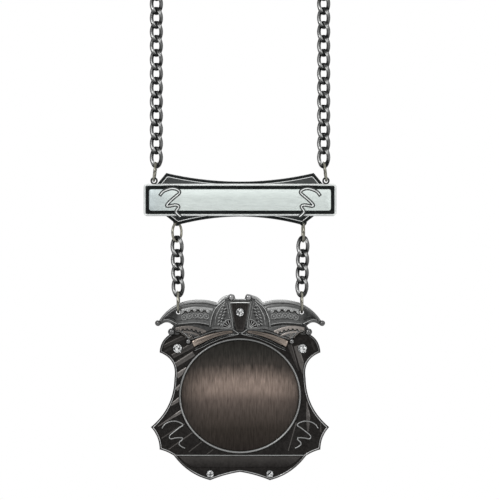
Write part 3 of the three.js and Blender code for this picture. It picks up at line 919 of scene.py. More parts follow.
def row_on(casting, corners, level, top, ornament, count, finish, rub=1.0, other=1.0):
    """A row of an ornament on both halves of a casting, from a level to a top."""
    path = [(x, -level, z) for x, z in corners]
    mesh = grow_row(path, [(0, 1, 0)] * len(path), ornament, count, finish)
    points = [(v.co.x, v.co.z, -v.co.y) for v in mesh.vertices]
    faces = [tuple(face.vertices) for face in mesh.polygons]
    shades = [rub * np.clip((h - level) / (top - level), 0.1, 1) for _, _, h in points]
    casting.add((points, faces, shades), finish, mirrored=True, other=other)
    bpy.data.meshes.remove(mesh)


ORNAMENTS = {
    "lobe": boss(1.9, 1.6, 0.25), "small lobe": boss(1.5, 1.1, 0.25),
    "leaf": boss(1.5, 0.6, 0.25, slant=0.8), "cord strand": boss(1.45, 0.5, 0.35, slant=0.85),
    "rosette": rosette(1.1, 0.5, 0.25)}
ornaments = {name: keep_ornament(name, *shape) for name, shape in ORNAMENTS.items()}
lobe, small_lobe = ornaments["lobe"], ornaments["small lobe"]
leaf, strand = ornaments["leaf"], ornaments["cord strand"]
flower = ornaments["rosette"]
print("ornaments:", list(ornaments))

# %% [markdown]
# The shield is the ground of the medal. Its rim is black with one fine line on it, which is bright along the
# sides and the foot and darker between them, and under the cap it is darkened with painted shade. The ground
# inside the rim lies low.
# Where the oval field comes, it sinks a little more, so the field's own plate can lie in it.

# %% The shield
medal_casting = Casting()
SHIELD = (
    (0, 28, 0), (28.6, 27.4, 0), (34.8, 18.7, 1.7), (28.4, 7.6, -2.6), (38.6, -13.6, -2.7), (34.8, -23.3, -1),
    (28.6, -26, -0.3), (12.9, -36.6, 1.7), (0, -33, -0.4))
SHIELD_SECTION = (
    (0, 0.35), (0.10, 0.66), (0.24, 0.75), (0.42, 0.68), (0.54, 0.46), (0.66, 0.5), (0.80, 0.58), (0.92, 0.5),
    (1.05, 0.1))
SHIELD_RUBS = (0.03, 0.05, 0.08, 0.1, 0.05, 0.1, 0.15, 0.1, 0.03)
EDGE_INSET, EDGE_WIDTH, EDGE_FOOT, EDGE_TOP = 0.68, 0.45, 0.4, 0.85
# The edge line is bright on the sides and the foot, darker between them, and painted shade under the cap.
EDGE_HEIGHTS = (-36, -34.5, -33, -31, -27, -25, 0, 15, 19, 28)
EDGE_TONES = (0.25, 0.5, 0.5, 0.12, 0.1, 0.5, 0.5, 0.45, 0.2, 0.12)
BACK = -1.5
CAP_BACK = -1.45
FIELD_WIDTH, FIELD_HEIGHT = 25.5, 24.0
FIELD_RIM = 1.0
SUNK_GROUND = -0.3


def sink_field(places, height):
    """Lowers the ground under the field's plate."""
    half_axes = (FIELD_WIDTH + FIELD_RIM / 2, FIELD_HEIGHT + FIELD_RIM / 2)
    reach = ((places / half_axes) ** 2).sum(1)
    return np.where(reach < 1, SUNK_GROUND, height)


def tone_by_height(surface, heights, tones):
    """A surface whose rub is scaled from its foot to its top, which also paints shade on the shield's edge and the
    bar's border.
    """
    points, faces, shades = surface
    return points, faces, list(np.array(shades) * np.interp([z for _, z, _ in points], heights, tones))


shield_outline = both_halves(SHIELD)
shield = panel(shield_outline, SHIELD_SECTION, BACK, SHIELD_RUBS, sunk=sink_field)
medal_casting.add(shield, ground_metal)
edge = ridge(moved_in(shield_outline, EDGE_INSET), EDGE_WIDTH, EDGE_FOOT, EDGE_TOP, closed=True)
medal_casting.add(tone_by_height(edge, EDGE_HEIGHTS, EDGE_TONES), edge_metal)
print("shield triangles:", len(shield[1]))

# %% [markdown]
# The oval field is a flat brushed plate inside a plain rim, which is brighter at its foot than at its top.
# Below it a bright line closes the ground, and under the line lies a plain strip that fades to black
# downwards. A streamer curls in the ground on each side.

# %% The field, the strip and the streamers
FIELD_SECTION = ((0, -0.12), (0.25, -0.02), (0.5, 0.0))
FIELD_RUBS = (0.2, 0.4, 0.5)
FIELD_FOOT, FIELD_OVERLAP = -0.6, 0.1
FIELD_CORNERS, FIELD_GRID = 160, 2
RIM_OVERLAP, RIM_FOOT, RIM_TOP = 0.2, -0.2, 1.1
RIM_HEIGHTS, RIM_TONES = (-25, 0, 25), (0.7, 0.8, 0.5)
LINE_HEIGHT, LINE_REACH = -25.8, 28.4
LINE_WIDTH, LINE_TOP, LINE_STEPS = 0.6, 0.7, 40
STRIP = ((0, -26.1, 0), (26.9, -26.1, 0), (20, -31.3, 0.4), (0, -31.3, 0))
STRIP_SECTION = ((0, 0.15), (0.15, 0.3), (0.4, 0.3))
STRIP_RUBS, STRIP_FOOT = (0.3, 1, 1), -0.2
STRIP_HEIGHTS, STRIP_TONES = (-31.3, -29, -26.1), (0.02, 0.08, 0.16)
STREAMER = (
    (33.8, -14.1), (32.6, -12.4), (30.5, -11.3), (28.1, -11.0), (26.0, -11.6), (24.7, -12.7), (26.6, -14.1),
    (28.9, -15.9), (30.3, -17.1), (30.6, -18.0), (29.9, -18.7), (27.9, -18.3), (25.2, -18.2), (25.0, -19.0),
    (26.2, -20.1), (26.3, -21.1), (25.2, -22.1), (23.8, -22.7))
STREAMER_WIDTH, STREAMER_TOP, STREAMER_RUB = 0.72, 0.6, 0.68


def tone_strip(places, shades):
    """The strip's sheen, strongest along its upper edge."""
    return shades * np.interp(places[:, 1], STRIP_HEIGHTS, STRIP_TONES)


plate_outline = ellipse(FIELD_WIDTH + FIELD_OVERLAP, FIELD_HEIGHT + FIELD_OVERLAP, FIELD_CORNERS)
plate = panel(plate_outline, FIELD_SECTION, FIELD_FOOT, FIELD_RUBS, spacing=FIELD_GRID)
medal_casting.add(plate, field_metal)
rim_path = ellipse(FIELD_WIDTH + FIELD_RIM / 2, FIELD_HEIGHT + FIELD_RIM / 2, FIELD_CORNERS)
field_rim = ridge(rim_path, FIELD_RIM + RIM_OVERLAP, RIM_FOOT, RIM_TOP, closed=True)
medal_casting.add(tone_by_height(field_rim, RIM_HEIGHTS, RIM_TONES), gunmetal)
line_path = [(x, LINE_HEIGHT) for x in np.linspace(-LINE_REACH, LINE_REACH, LINE_STEPS)]
medal_casting.add(ridge(line_path, LINE_WIDTH, 0, LINE_TOP), gunmetal)
strip = panel(both_halves(STRIP), STRIP_SECTION, STRIP_FOOT, STRIP_RUBS, fade=tone_strip)
medal_casting.add(strip, ground_metal)
streamer = ridge(smooth_path(STREAMER), STREAMER_WIDTH, 0, STREAMER_TOP, rub=STREAMER_RUB)
medal_casting.add(streamer, gunmetal, mirrored=True)
print("points so far:", len(medal_casting.points))

# %% [markdown]
# Light rays cross the ground behind the field: flat bands that stand a little proud. On the left they rise to
# the right at about 35 degrees, on the right they fall steeply. Each row is a band from one end to the other,
# with its width at both ends and its rub.

# %% The rays on the ground
RAY_TOP, RAY_BEVEL = 0.24, 0.1
RAYS = (
    (-33.2, 21.2, -22.5, 26.2, 1.5, 2.0, 0.08), (-32.8, 18.9, -29.6, 20.6, 1.2, 1.2, 0.09),
    (-29.2, 17.0, -20.3, 21.9, 1.9, 2.4, 0.14), (-28.2, 13.1, -20.0, 18.2, 2.0, 2.2, 0.26),
    (-27.5, 8.4, -23.0, 11.7, 2.4, 1.5, 0.46), (-27.6, 2.6, -25.7, 4.4, 1.6, 1.4, 0.4),
    (-30.2, -4.2, -26.2, -1.5, 1.1, 1.8, 0.36), (-35.6, -13.3, -25.3, -6.8, 0.5, 1.5, 0.38),
    (-33.9, -18.4, -24.0, -12.2, 0.6, 0.7, 0.23), (-31.0, -23.3, -20.6, -16.0, 0.6, 0.6, 0.26),
    (-22.2, -24.4, -16.6, -20.0, 0.5, 0.5, 0.23), (-14.2, -25.2, -11.6, -23.3, 0.5, 0.5, 0.18),
    (21.4, 22.2, 25.4, 10.6, 1.9, 0.7, 0.12), (24.3, 21.6, 26.5, 14.2, 2.1, 2.3, 0.3),
    (26.5, 14.2, 27.0, 9.4, 2.3, 0.3, 0.3),
    (28.9, -2.6, 29.5, -9.0, 0.4, 1.8, 0.32), (29.5, -9.0, 29.4, -15.5, 1.8, 0.9, 0.22),
    (24.3, -11.6, 20.9, -23.8, 0.5, 0.5, 0.26), (31.0, 23.4, 32.4, 19.6, 1.2, 1.0, 0.07),
    (34.9, -11.2, 34.9, -15.8, 0.4, 1.0, 0.18))
RAY_STEPS = 6

for x0, z0, x1, z1, width0, width1, rub in RAYS:
    ray_path = list(zip(np.linspace(x0, x1, RAY_STEPS), np.linspace(z0, z1, RAY_STEPS)))
    ray_widths = np.linspace(width0, width1, RAY_STEPS)
    ray = band(ray_path, 1.0, 0, RAY_TOP, bevel=RAY_BEVEL, widths=ray_widths, rub=rub)
    medal_casting.add(ray, ground_metal)
print("rays:", len(RAYS))

# %% [markdown]
# The fool's cap lies over the upper edge of the shield. Its base is one panel whose edge is moulded twice,
# with a dark groove between. On it lie the wings, the flaps below them, the two peaks, the dark middle and
# the visor, each a panel of its own, drawn for the right half and mirrored. The jump rings of the medal go
# through a hole in each wing.

# %% The cap
CAP = (
    (0, 41.9, 0), (1.9, 41.9, 0), (3.7, 43.7, 0.3), (9.8, 40.3, 1), (18, 41.6, 0.45), (35.4, 32, 2.7),
    (34.4, 30.6, 0), (28.8, 30.2, -1.3), (29.6, 27.2, 0.5), (22.4, 24.4, -1.4), (0, 26.2, 0))
WING = (
    (10.5, 38.4, 0), (18, 39.7, 0.4), (34, 32.7, 2.3), (27.6, 31, -0.5), (12.6, 30, -0.9), (10.5, 38.4, 0.3))
RING_HOLE = (26.7, 36.15, 0.92)
CAP_SECTION = (
    (0, 0.25), (0.1, 0.6), (0.3, 0.8), (0.7, 0.88), (1.1, 0.84), (1.4, 0.7), (1.55, 0.58), (1.75, 0.58),
    (1.9, 0.68), (2.2, 0.7))
CAP_RUBS = (0.4, 0.9, 1.0, 1.0, 0.75, 0.4, 0.08, 0.08, 0.3, 0.35)
# Painted shade: the cap darkens towards its tips and under the tips of the wings.
CAP_REACH, CAP_TONES = (0, 2, 3, 20, 27, 32), (0.7, 0.7, 1, 1, 0.55, 0.25)
DIP_REACH, DIP_HEIGHTS, DIP_TONES = 2.6, (41.2, 41.6), (0.06, 1)
UNDER_REACH, UNDER_TOP, UNDER_SHADE = 27.2, 31.6, 0.2
WING_SECTION = ((0, 0.5), (0.1, 0.9), (0.3, 1.02), (0.55, 1.04))
WING_RUBS = (0.12, 0.28, 0.34, 0.32)
WING_FOOT, WING_DOME, WING_GRID = 0.3, 0.1, 0.7
# Painted shade towards the tip of the wing.
WING_REACH, WING_TIP_SHADE = (25, 28.5, 34), (1, 0.35, 0.25)


def loop(rows):
    """The closed outline of a form that lies wholly on one side."""
    return trace(rows)[:-1]


def tone_cap(places, shades):
    """Painted shade on the tips of the cap and under them, and darker below the edge of the dip between its peaks.
    """
    across = np.abs(places[:, 0])
    dip = np.where(across < DIP_REACH, np.interp(places[:, 1], DIP_HEIGHTS, DIP_TONES), 1)
    under = np.where((across > UNDER_REACH) & (places[:, 1] < UNDER_TOP), UNDER_SHADE, 1)
    return shades * dip * under * np.interp(across, CAP_REACH, CAP_TONES)


def tone_wing(places, shades):
    """Painted shade on the tip of a wing."""
    return shades * np.interp(places[:, 0], WING_REACH, WING_TIP_SHADE)


hole_x, hole_z, hole_radius = RING_HOLE
holes = [ellipse(hole_radius, hole_radius, HOLE_CORNERS, side * hole_x, hole_z) for side in (1, -1)]
cap = panel(both_halves(CAP), CAP_SECTION, CAP_BACK, CAP_RUBS, holes=holes, fade=tone_cap)
medal_casting.add(cap, gunmetal)
wing = panel(
    loop(WING), WING_SECTION, WING_FOOT, WING_RUBS, dome=WING_DOME, holes=holes[:1], spacing=WING_GRID,
    fade=tone_wing)
medal_casting.add(wing, gunmetal, mirrored=True)
print("cap triangles:", len(cap[1]), "wing:", len(wing[1]))

# %% [markdown]
# The visor is coppery at its outer end and greyer towards the middle, so its rub fades along it. Fine ribs
# run along it. The flaps are brighter on the right than on the left, and their tips are darkened with painted
# shade.

# %% The flaps, peaks, middle and visor
FLAP = ((11.5, 29.4, 0), (29, 28.9, 1.5), (22.5, 25, -1.1), (8, 28.6, 0.5), (11.5, 29.4, 0))
FLAP_SECTION = ((0, 0.5), (0.1, 0.9), (0.3, 1.0), (0.5, 1.0))
PEAK = ((4.7, 41.6, 0), (9.4, 39.8, 0.4), (12.8, 29.3, 0.6), (2.4, 29, 0.2), (4.7, 41.6, 0))
PEAK_SECTION = ((0, 0.5), (0.1, 1.05), (0.3, 1.22), (0.5, 1.2))
PEAK_RUBS = (0.05, 0.15, 0.26, 0.25)
PEAK_FOOT, PEAK_DOME = 0.3, 0.12
FLAP_RUBS = (0.03, 0.1, 0.3, 0.29)
FLAP_FOOT, FLAP_DOME = 0.2, 0.1
# Painted shade towards the tip of the flap.
FLAP_REACH, FLAP_TIP_SHADE = (25.5, 28.5), (1, 0.2)
FLAP_OTHER = 0.5
MIDDLE = ((0, 40.9, 0), (4.1, 40.9, 0), (1.6, 28.1, 0.2), (0, 28.1, 0))
MIDDLE_SECTION = ((0, 0.6), (0.12, 0.9), (0.35, 0.92), (0.6, 0.85))
MIDDLE_RUBS = (0.05, 0.15, 0.15, 0.06)
MIDDLE_FOOT = 0.3
VISOR = ((3, 28.3, 0), (21.2, 23.7, 1.1), (20, 20.8, 0), (3, 27, -0.9), (3, 28.3, 0))
VISOR_SECTION = ((0, 0.5), (0.1, 1.1), (0.3, 1.35), (0.6, 1.5))
VISOR_RUBS = (0.0, 0.4, 0.85, 1.0)
VISOR_REACH, VISOR_TONES = (3, 7, 13, 18, 20), (0.36, 0.33, 0.4, 0.7, 0.95)
VISOR_FOOT, VISOR_DOME, VISOR_TOP = 0.0, 0.15, 1.62
FINE_GRID = 0.6
VISOR_RIB_WIDTH, VISOR_RIB_DEPTH, VISOR_RIB_STAND = 0.35, 0.3, 0.1
VISOR_RIBS = (
    (0.75, ((3.8, 28), (8, 27.5), (12, 26.4), (16, 25), (20, 23.6))),
    (0.15, ((5, 27.6), (9, 26.8), (13, 25.5), (17, 23.8))),
    (0.65, ((6, 26.9), (10, 25.8), (14, 24.2), (18, 22.2))))


def tone_flap(places, shades):
    """Painted shade on the tip of a flap."""
    return shades * np.interp(places[:, 0], FLAP_REACH, FLAP_TIP_SHADE)


def tone_visor(places, shades):
    """Less bare copper towards the middle of the visor."""
    return shades * np.interp(places[:, 0], VISOR_REACH, VISOR_TONES)


flap = panel(
    loop(FLAP), FLAP_SECTION, FLAP_FOOT, FLAP_RUBS, dome=FLAP_DOME, spacing=FINE_GRID, fade=tone_flap)
medal_casting.add(flap, gunmetal, mirrored=True, other=FLAP_OTHER)
peak = panel(loop(PEAK), PEAK_SECTION, PEAK_FOOT, PEAK_RUBS, dome=PEAK_DOME, spacing=FINE_GRID)
medal_casting.add(peak, gunmetal, mirrored=True)
middle = panel(both_halves(MIDDLE), MIDDLE_SECTION, MIDDLE_FOOT, MIDDLE_RUBS, spacing=FINE_GRID)
medal_casting.add(middle, ground_metal)
visor = panel(
    loop(VISOR), VISOR_SECTION, VISOR_FOOT, VISOR_RUBS, dome=VISOR_DOME, spacing=FINE_GRID, fade=tone_visor)
medal_casting.add(visor, visor_metal, mirrored=True)
for rub, corners in VISOR_RIBS:
    rib_foot, rib_top = VISOR_TOP - VISOR_RIB_DEPTH, VISOR_TOP + VISOR_RIB_STAND
    rib = ridge(smooth_path(corners), VISOR_RIB_WIDTH, rib_foot, rib_top, rub=rub)
    medal_casting.add(rib, visor_metal, mirrored=True)
print("points so far:", len(medal_casting.points))

# %% [markdown]
# The wing is embroidered: a broad light band whose lower edge is a row of lobes over a dark wave, which is
# painted shade under the lobes, rosettes below it, and a fine line above its own lower edge and round its
# tip. Its tip is darkened with painted shade. Each row of a table of lines has a width, a rub and its
# corners; a rub of zero makes a dark line. Lines are ridges, and a row of ornaments comes from the row tree.

# %% The embroidery of the wings
WING_TOP = 1.1
LINE_STAND, ORNAMENT_STAND, WAVE_STAND = 0.2, 0.22, 0.25
WING_LINES = (
    (1.3, 1.0, ((11.8, 37.3), (14, 37.6), (18.9, 38.0), (21.5, 37.7), (25.3, 36.9))),
    (0.45, 0.95, ((13.6, 30.9), (16.3, 31.4), (19.5, 31.7), (23, 31.5), (26.8, 31.1))),
    (0.45, 0.0, ((13.4, 30.2), (16.3, 30.7), (19.5, 31), (23, 30.8), (27, 30.3))),
    (0.3, 0.1, ((13.4, 32.7), (16.3, 33.1), (21, 33.2), (26, 32.6))),
    (0.45, 1.0, ((27.4, 31.1), (28.4, 31.7), (29.7, 32.4), (31.4, 32.9), (33.2, 32.7))),
    (0.5, 0.0, ((27.8, 32.6), (29.3, 33.5), (31.4, 33.9), (32.8, 33.4))))
LOBE_PATH = ((14, 36.5), (16.7, 36.9), (19.7, 37), (22.4, 36.7), (25.1, 36))
LOBES, LOBE_RUB = 5, 0.85
WAVE_DROP, WAVE_SWING, WAVE_WIDTH = 0.45, 0.42, 0.55
WAVE_STEPS = 10
ROSETTE_PATH = ((14.6, 34.3), (17.6, 34.7), (21, 34.6), (24.2, 33.9))
ROSETTES, ROSETTE_RUB = 5, 0.62


def wave_under(corners, lobes, drop, swing):
    """A wave under a row of lobes, low below each lobe and high between two: a line of painted shade."""
    path = np.array(smooth_path(corners))
    shares = np.linspace(0, 1, lobes * WAVE_STEPS)
    known = np.linspace(0, 1, len(path))
    places = np.stack([np.interp(shares, known, path[:, axis]) for axis in (0, 1)], axis=1)
    places[:, 1] -= drop + swing * np.cos(shares * (lobes - 1) * 2 * math.pi)
    return [tuple(place) for place in places]


def draw_lines(casting, lines, level, finish, other=1.0):
    """Adds a table of lines on a level to both halves of a casting."""
    for width, rub, corners in lines:
        line = ridge(smooth_path(corners), width, level - LINE_STAND, level + LINE_STAND, rub=rub)
        casting.add(line, finish, mirrored=True, other=other)


row_top = WING_TOP + ORNAMENT_STAND
row_on(medal_casting, smooth_path(LOBE_PATH), WING_TOP, row_top, lobe, LOBES, gunmetal, rub=LOBE_RUB)
# The dark wave is painted shade under the lobes.
wave = wave_under(LOBE_PATH, LOBES, WAVE_DROP, WAVE_SWING)
wave_shade_line = ridge(wave, WAVE_WIDTH, WING_TOP - LINE_STAND, WING_TOP + WAVE_STAND, rub=0.0)
medal_casting.add(wave_shade_line, ground_metal, mirrored=True)
rosette_path = smooth_path(ROSETTE_PATH)
row_on(medal_casting, rosette_path, WING_TOP, row_top, flower, ROSETTES, gunmetal, rub=ROSETTE_RUB)
draw_lines(medal_casting, WING_LINES, WING_TOP, gunmetal)
print("points so far:", len(medal_casting.points))

# %% [markdown]
# The flap repeats the wing in small, with a fan of light rays in its lower corner, and a dark line of painted
# shadow runs under the peak and the flap, along the top of the visor. The peak has lines along its edges,
# rows of leaves, light and dark, and a larger fan in its lower inner corner, closed by an arc.

# %% The embroidery of the flaps and peaks
FLAP_TOP = 1.02
PEAK_TOP = 1.25
FLAP_LINES = (
    (1.4, 0.78, ((27.8, 28.9), (24.5, 29.6), (21.5, 29.6), (18.5, 29), (16.3, 28.2), (14.8, 27.6))),
    (1.0, 0.8, ((24.6, 27.6), (22.6, 27.5), (20.5, 27.1), (18.9, 26.5), (17.6, 25.9))),
    (0.35, 0.75, ((28, 28.3), (26.6, 27.9), (25, 26.9), (23.9, 25.9), (23.2, 25.1))))
# The second dark line is a painted shadow under the peak and the flap, along the top of the visor.
FLAP_DARK_AND_SHADOW_LINES = (
    (0.4, 0.0, ((26.2, 26.9), (24.8, 26.2), (23.9, 25.4))),
    (0.45, 0.0, ((8.5, 29), (11.1, 28.6), (13.7, 27.8), (16.3, 26.8), (19, 25.8), (21.4, 24.9))))
FLAP_LOBE_PATH = ((25.6, 28.5), (23.2, 28.8), (20.7, 28.6), (18.3, 27.9), (16.4, 27.2))
FLAP_LOBES, FLAP_LOBE_RUB = 6, 0.62
FLAP_WAVE_DROP, FLAP_WAVE_SWING, FLAP_WAVE_WIDTH = 0.3, 0.32, 0.5
BROW_LINE = (
    (0.35, 0.55, ((2.5, 28.8), (5.9, 28.7), (8.5, 28.4), (11.1, 27.9), (13.7, 27.1), (16.3, 26.1), (19, 25.1),
                  (21.4, 24.3))),)
PEAK_LINES = (
    (0.5, 1.0, ((6.5, 41.5), (10, 38.5), (11.4, 36.2), (12.6, 33), (13, 29.8))),
    (0.45, 0.95, ((6.4, 40.6), (8.4, 38.2), (9.8, 35.7), (10.6, 33.5), (10.9, 30.5))),
    (0.4, 0.9, ((3.2, 29.2), (7, 29.2), (12.2, 29.3))),
    (0.45, 0.95, ((4.8, 40.8), (4.2, 37), (3.5, 33), (3, 29.2))),
    (0.4, 0.85, ((5.8, 40.2), (5.3, 37.5), (4.7, 34.4), (4.5, 33.4))))
LEAF_ROWS = (
    (7, 0.75, ((7.1, 39), (8, 36.4), (9, 33.6), (9.3, 31))),
    (6, 0.0, ((6.9, 38), (7.6, 35.8), (8.5, 33), (8.8, 30.6))),
    (6, 0.75, ((6.4, 37.6), (7, 35.6), (7.9, 33), (8.2, 30.8))),
    (4, 0.0, ((6, 37), (6.4, 35.4), (7.1, 33.6), (7.4, 32.6))))
FLAP_HUB, PEAK_HUB = (23, 24.7), (4, 29.3)
FLAP_FAN, PEAK_FAN = (106, 128, 150, 172), (3, 25, 47, 69, 90)
PEAK_GAPS = (14, 36, 58, 80)
FLAP_FAN_REACH, PEAK_FAN_REACH, PEAK_GAP_REACH = (1.2, 2.5), (0.6, 3.3), (1.3, 3.3)
FLAP_FAN_LINE, PEAK_FAN_LINE, PEAK_GAP_LINE = (0.4, 0.8), (0.42, 1.0), (0.6, 0.0)
PEAK_ARC, PEAK_ARC_LINE = 3.8, (0.4, 0.9)
PEAK_ARC_ANGLES = range(5, 91, 17)


def around(hub, angle, radius):
    """A place at an angle and a distance from the hub of a fan."""
    turn = math.radians(angle)
    return hub[0] + math.cos(turn) * radius, hub[1] + math.sin(turn) * radius


def fan_rays(hub, angles, reach, width, rub):
    """A table of straight lines from the hub of a fan."""
    rays = [[around(hub, angle, radius) for radius in np.linspace(*reach, 3)] for angle in angles]
    return [(width, rub, ray) for ray in rays]


row_on(
    medal_casting, smooth_path(FLAP_LOBE_PATH), FLAP_TOP, FLAP_TOP + ORNAMENT_STAND, small_lobe, FLAP_LOBES,
    flap_metal, rub=FLAP_LOBE_RUB, other=FLAP_OTHER)
# The dark wave under the flap's lobes is painted shade too.
flap_wave = wave_under(FLAP_LOBE_PATH, FLAP_LOBES, FLAP_WAVE_DROP, FLAP_WAVE_SWING)
flap_wave_shade_line = ridge(flap_wave, FLAP_WAVE_WIDTH, FLAP_TOP - LINE_STAND, FLAP_TOP + WAVE_STAND, rub=0.0)
medal_casting.add(flap_wave_shade_line, ground_metal, mirrored=True)
draw_lines(medal_casting, FLAP_LINES, FLAP_TOP, flap_metal, FLAP_OTHER)
draw_lines(medal_casting, FLAP_DARK_AND_SHADOW_LINES, FLAP_TOP, ground_metal)
flap_fan = fan_rays(FLAP_HUB, FLAP_FAN, FLAP_FAN_REACH, *FLAP_FAN_LINE)
draw_lines(medal_casting, flap_fan, FLAP_TOP, flap_metal)
draw_lines(medal_casting, BROW_LINE, PEAK_TOP, gunmetal)
draw_lines(medal_casting, PEAK_LINES, PEAK_TOP, gunmetal)
for count, rub, corners in LEAF_ROWS:
    leaf_path, leaf_top = smooth_path(corners), PEAK_TOP + ORNAMENT_STAND
    row_on(medal_casting, leaf_path, PEAK_TOP, leaf_top, leaf, count, gunmetal, rub=rub)
peak_fan = fan_rays(PEAK_HUB, PEAK_FAN, PEAK_FAN_REACH, *PEAK_FAN_LINE)
draw_lines(medal_casting, peak_fan, PEAK_TOP, gunmetal)
peak_gaps = fan_rays(PEAK_HUB, PEAK_GAPS, PEAK_GAP_REACH, *PEAK_GAP_LINE)
draw_lines(medal_casting, peak_gaps, PEAK_TOP, ground_metal)
arc = [around(PEAK_HUB, angle, PEAK_ARC) for angle in PEAK_ARC_ANGLES]
draw_lines(medal_casting, ((*PEAK_ARC_LINE, arc),), PEAK_TOP, gunmetal)
print("points so far:", len(medal_casting.points))

# %% [markdown]
# Under the visor runs a twisted cord with a thin light line below it. Slanted strands in a row read as
# twisted. At the middle the line turns up round each end. The dark middle of the cap is faintly ribbed and
# closed by a bright bar at its top.

# %% The cord and the middle
CORD_PATH = ((19.2, 20.5), (16.3, 22), (13.7, 23.4), (11.1, 24.5), (8.5, 25.4), (5.9, 26.3), (3, 27))
CORD_LEVEL, CORD_TOP = 0.8, 1.15
CORD_STRANDS, STRAND_RUB = 24, 0.15
CORE_WIDTH, CORE_FOOT, CORE_RISE, CORE_RUB = 1.2, 0.1, 0.1, 0.05
CORD_LINE_LEVEL = 0.95
CORD_LINES = (
    (0.35, 0.75, ((19.6, 19.6), (16.3, 21), (13.7, 22.4), (11.1, 23.5), (8.5, 24.6), (5.9, 25.4),
                  (2.4, 26.1))),
    (0.45, 0.85, ((3.2, 28.8), (2.8, 28.4), (2, 27.9), (1, 27.2), (0.75, 26.8), (1.25, 26.45),
                  (2.4, 26.3))))
MIDDLE_BAR = ((-4.2, 40.25), (-2, 40.3), (0, 40.3), (2, 40.3), (4.2, 40.25))
MIDDLE_BAR_WIDTH, MIDDLE_BAR_FOOT, MIDDLE_BAR_TOP = 0.6, 0.6, 1.3
MIDDLE_RIBS = ((0, 29), (0.8, 29.4), (1.6, 30.5), (2.3, 33))
MIDDLE_RIB_END, MIDDLE_RIB_STEPS = 39.6, 8
MIDDLE_RIB_WIDTH, MIDDLE_RIB_FOOT, MIDDLE_RIB_TOP, MIDDLE_RIB_RUB = 0.3, 0.7, 0.95, 0.14

cord_path = smooth_path(CORD_PATH)
core = ridge(cord_path, CORE_WIDTH, CORE_FOOT, CORD_LEVEL + CORE_RISE, rub=CORE_RUB)
medal_casting.add(core, ground_metal, mirrored=True)
row_on(medal_casting, cord_path, CORD_LEVEL, CORD_TOP, strand, CORD_STRANDS, gunmetal, rub=STRAND_RUB)
draw_lines(medal_casting, CORD_LINES, CORD_LINE_LEVEL, gunmetal)
medal_casting.add(ridge(MIDDLE_BAR, MIDDLE_BAR_WIDTH, MIDDLE_BAR_FOOT, MIDDLE_BAR_TOP), silver)
for x, bottom in MIDDLE_RIBS:
    rib_path = [(x, z) for z in np.linspace(bottom, MIDDLE_RIB_END, MIDDLE_RIB_STEPS)]
    rib = ridge(rib_path, MIDDLE_RIB_WIDTH, MIDDLE_RIB_FOOT, MIDDLE_RIB_TOP, rub=MIDDLE_RIB_RUB)
    medal_casting.add(rib, ground_metal, mirrored=x > 0)
print("points so far:", len(medal_casting.points))

# %% [markdown]
# A bell hangs on every tip of the cap. It is a small polished ball with a fine groove, turned on a lathe: a
# profile of (radius, height) is spun about the line of sight. The bells on the peaks are brightest; the
# others are darkened with painted shade.
# The stones sit in shallow bright cups, turned the same way, and a thin dark collar runs round each.

# %% Bells and stone seats
LATHE_CORNERS = 28
# The last column is the tone of each bell: the bells away from the peaks are darkened with painted shade.
BELLS = ((3.7, 42.6, 1.5, 1.0), (35.5, 31.4, 1.3, 0.32), (29.6, 27.6, 1.6, 0.38), (22.4, 23.5, 1.25, 0.6))
BELL_MIDDLE = 0.6
BELL_PROFILE = (
    (0.0, 1.0), (0.2, 0.98), (0.4, 0.92), (0.58, 0.81), (0.74, 0.67), (0.86, 0.51), (0.9, 0.4), (0.96, 0.27),
    (1.0, 0.0), (0.9, -0.45), (0.6, -0.8), (0.0, -1.0))
BELL_RUBS = (0.75, 0.75, 0.72, 0.7, 0.65, 0.55, 0.2, 0.4, 0.3, 0.15, 0.1, 0.1)
SEAT_PROFILE = ((0.0, -0.62), (0.5, -0.3), (1.02, 0.08), (1.04, 0.0), (1.04, -0.6), (0.0, -0.9))
SEAT_RUBS = (0.6, 0.8, 0.7, 0.3, 0.1, 0.1)
SEAT_STAND = 0.15
COLLAR_REACH, COLLAR_WIDTH, COLLAR_DEPTH, COLLAR_STAND, COLLAR_RUB = 1.1, 0.45, 0.4, 0.3, 0.1
STONES = (
    ("stone_cap", 0, 36.1, 1.64, 1.1),
    ("stone_left", -27, 20.4, 1.84, 0.1), ("stone_right", 27, 20.4, 1.84, 0.1),
    ("stone_foot_left", -12.9, -33.9, 1.46, 0.1), ("stone_foot_right", 12.9, -33.9, 1.46, 0.1))


def lathe(profile, x, z, level, scale, rubs):
    """Spins a profile about the line of sight through a place."""
    points, shades, faces = [], [], []
    turning = [(radius, height, rub) for (radius, height), rub in zip(profile, rubs) if radius > 0]
    for radius, height, rub in turning:
        circle = ellipse(radius * scale, radius * scale, LATHE_CORNERS, x, z)
        points += [(px, pz, level + height * scale) for px, pz in circle]
        shades += [rub] * LATHE_CORNERS
    for ring in range(len(turning) - 1):
        for corner in range(LATHE_CORNERS):
            after = (corner + 1) % LATHE_CORNERS
            low, high = ring * LATHE_CORNERS, (ring + 1) * LATHE_CORNERS
            faces.append((low + corner, low + after, high + after, high + corner))
    first = len(points)
    points += [(x, z, level + profile[0][1] * scale), (x, z, level + profile[-1][1] * scale)]
    shades += [rubs[0], rubs[-1]]
    last = (len(turning) - 1) * LATHE_CORNERS
    for corner in range(LATHE_CORNERS):
        after = (corner + 1) % LATHE_CORNERS
        faces.append((first, corner, after))
        faces.append((first + 1, last + after, last + corner))
    return points, faces, shades


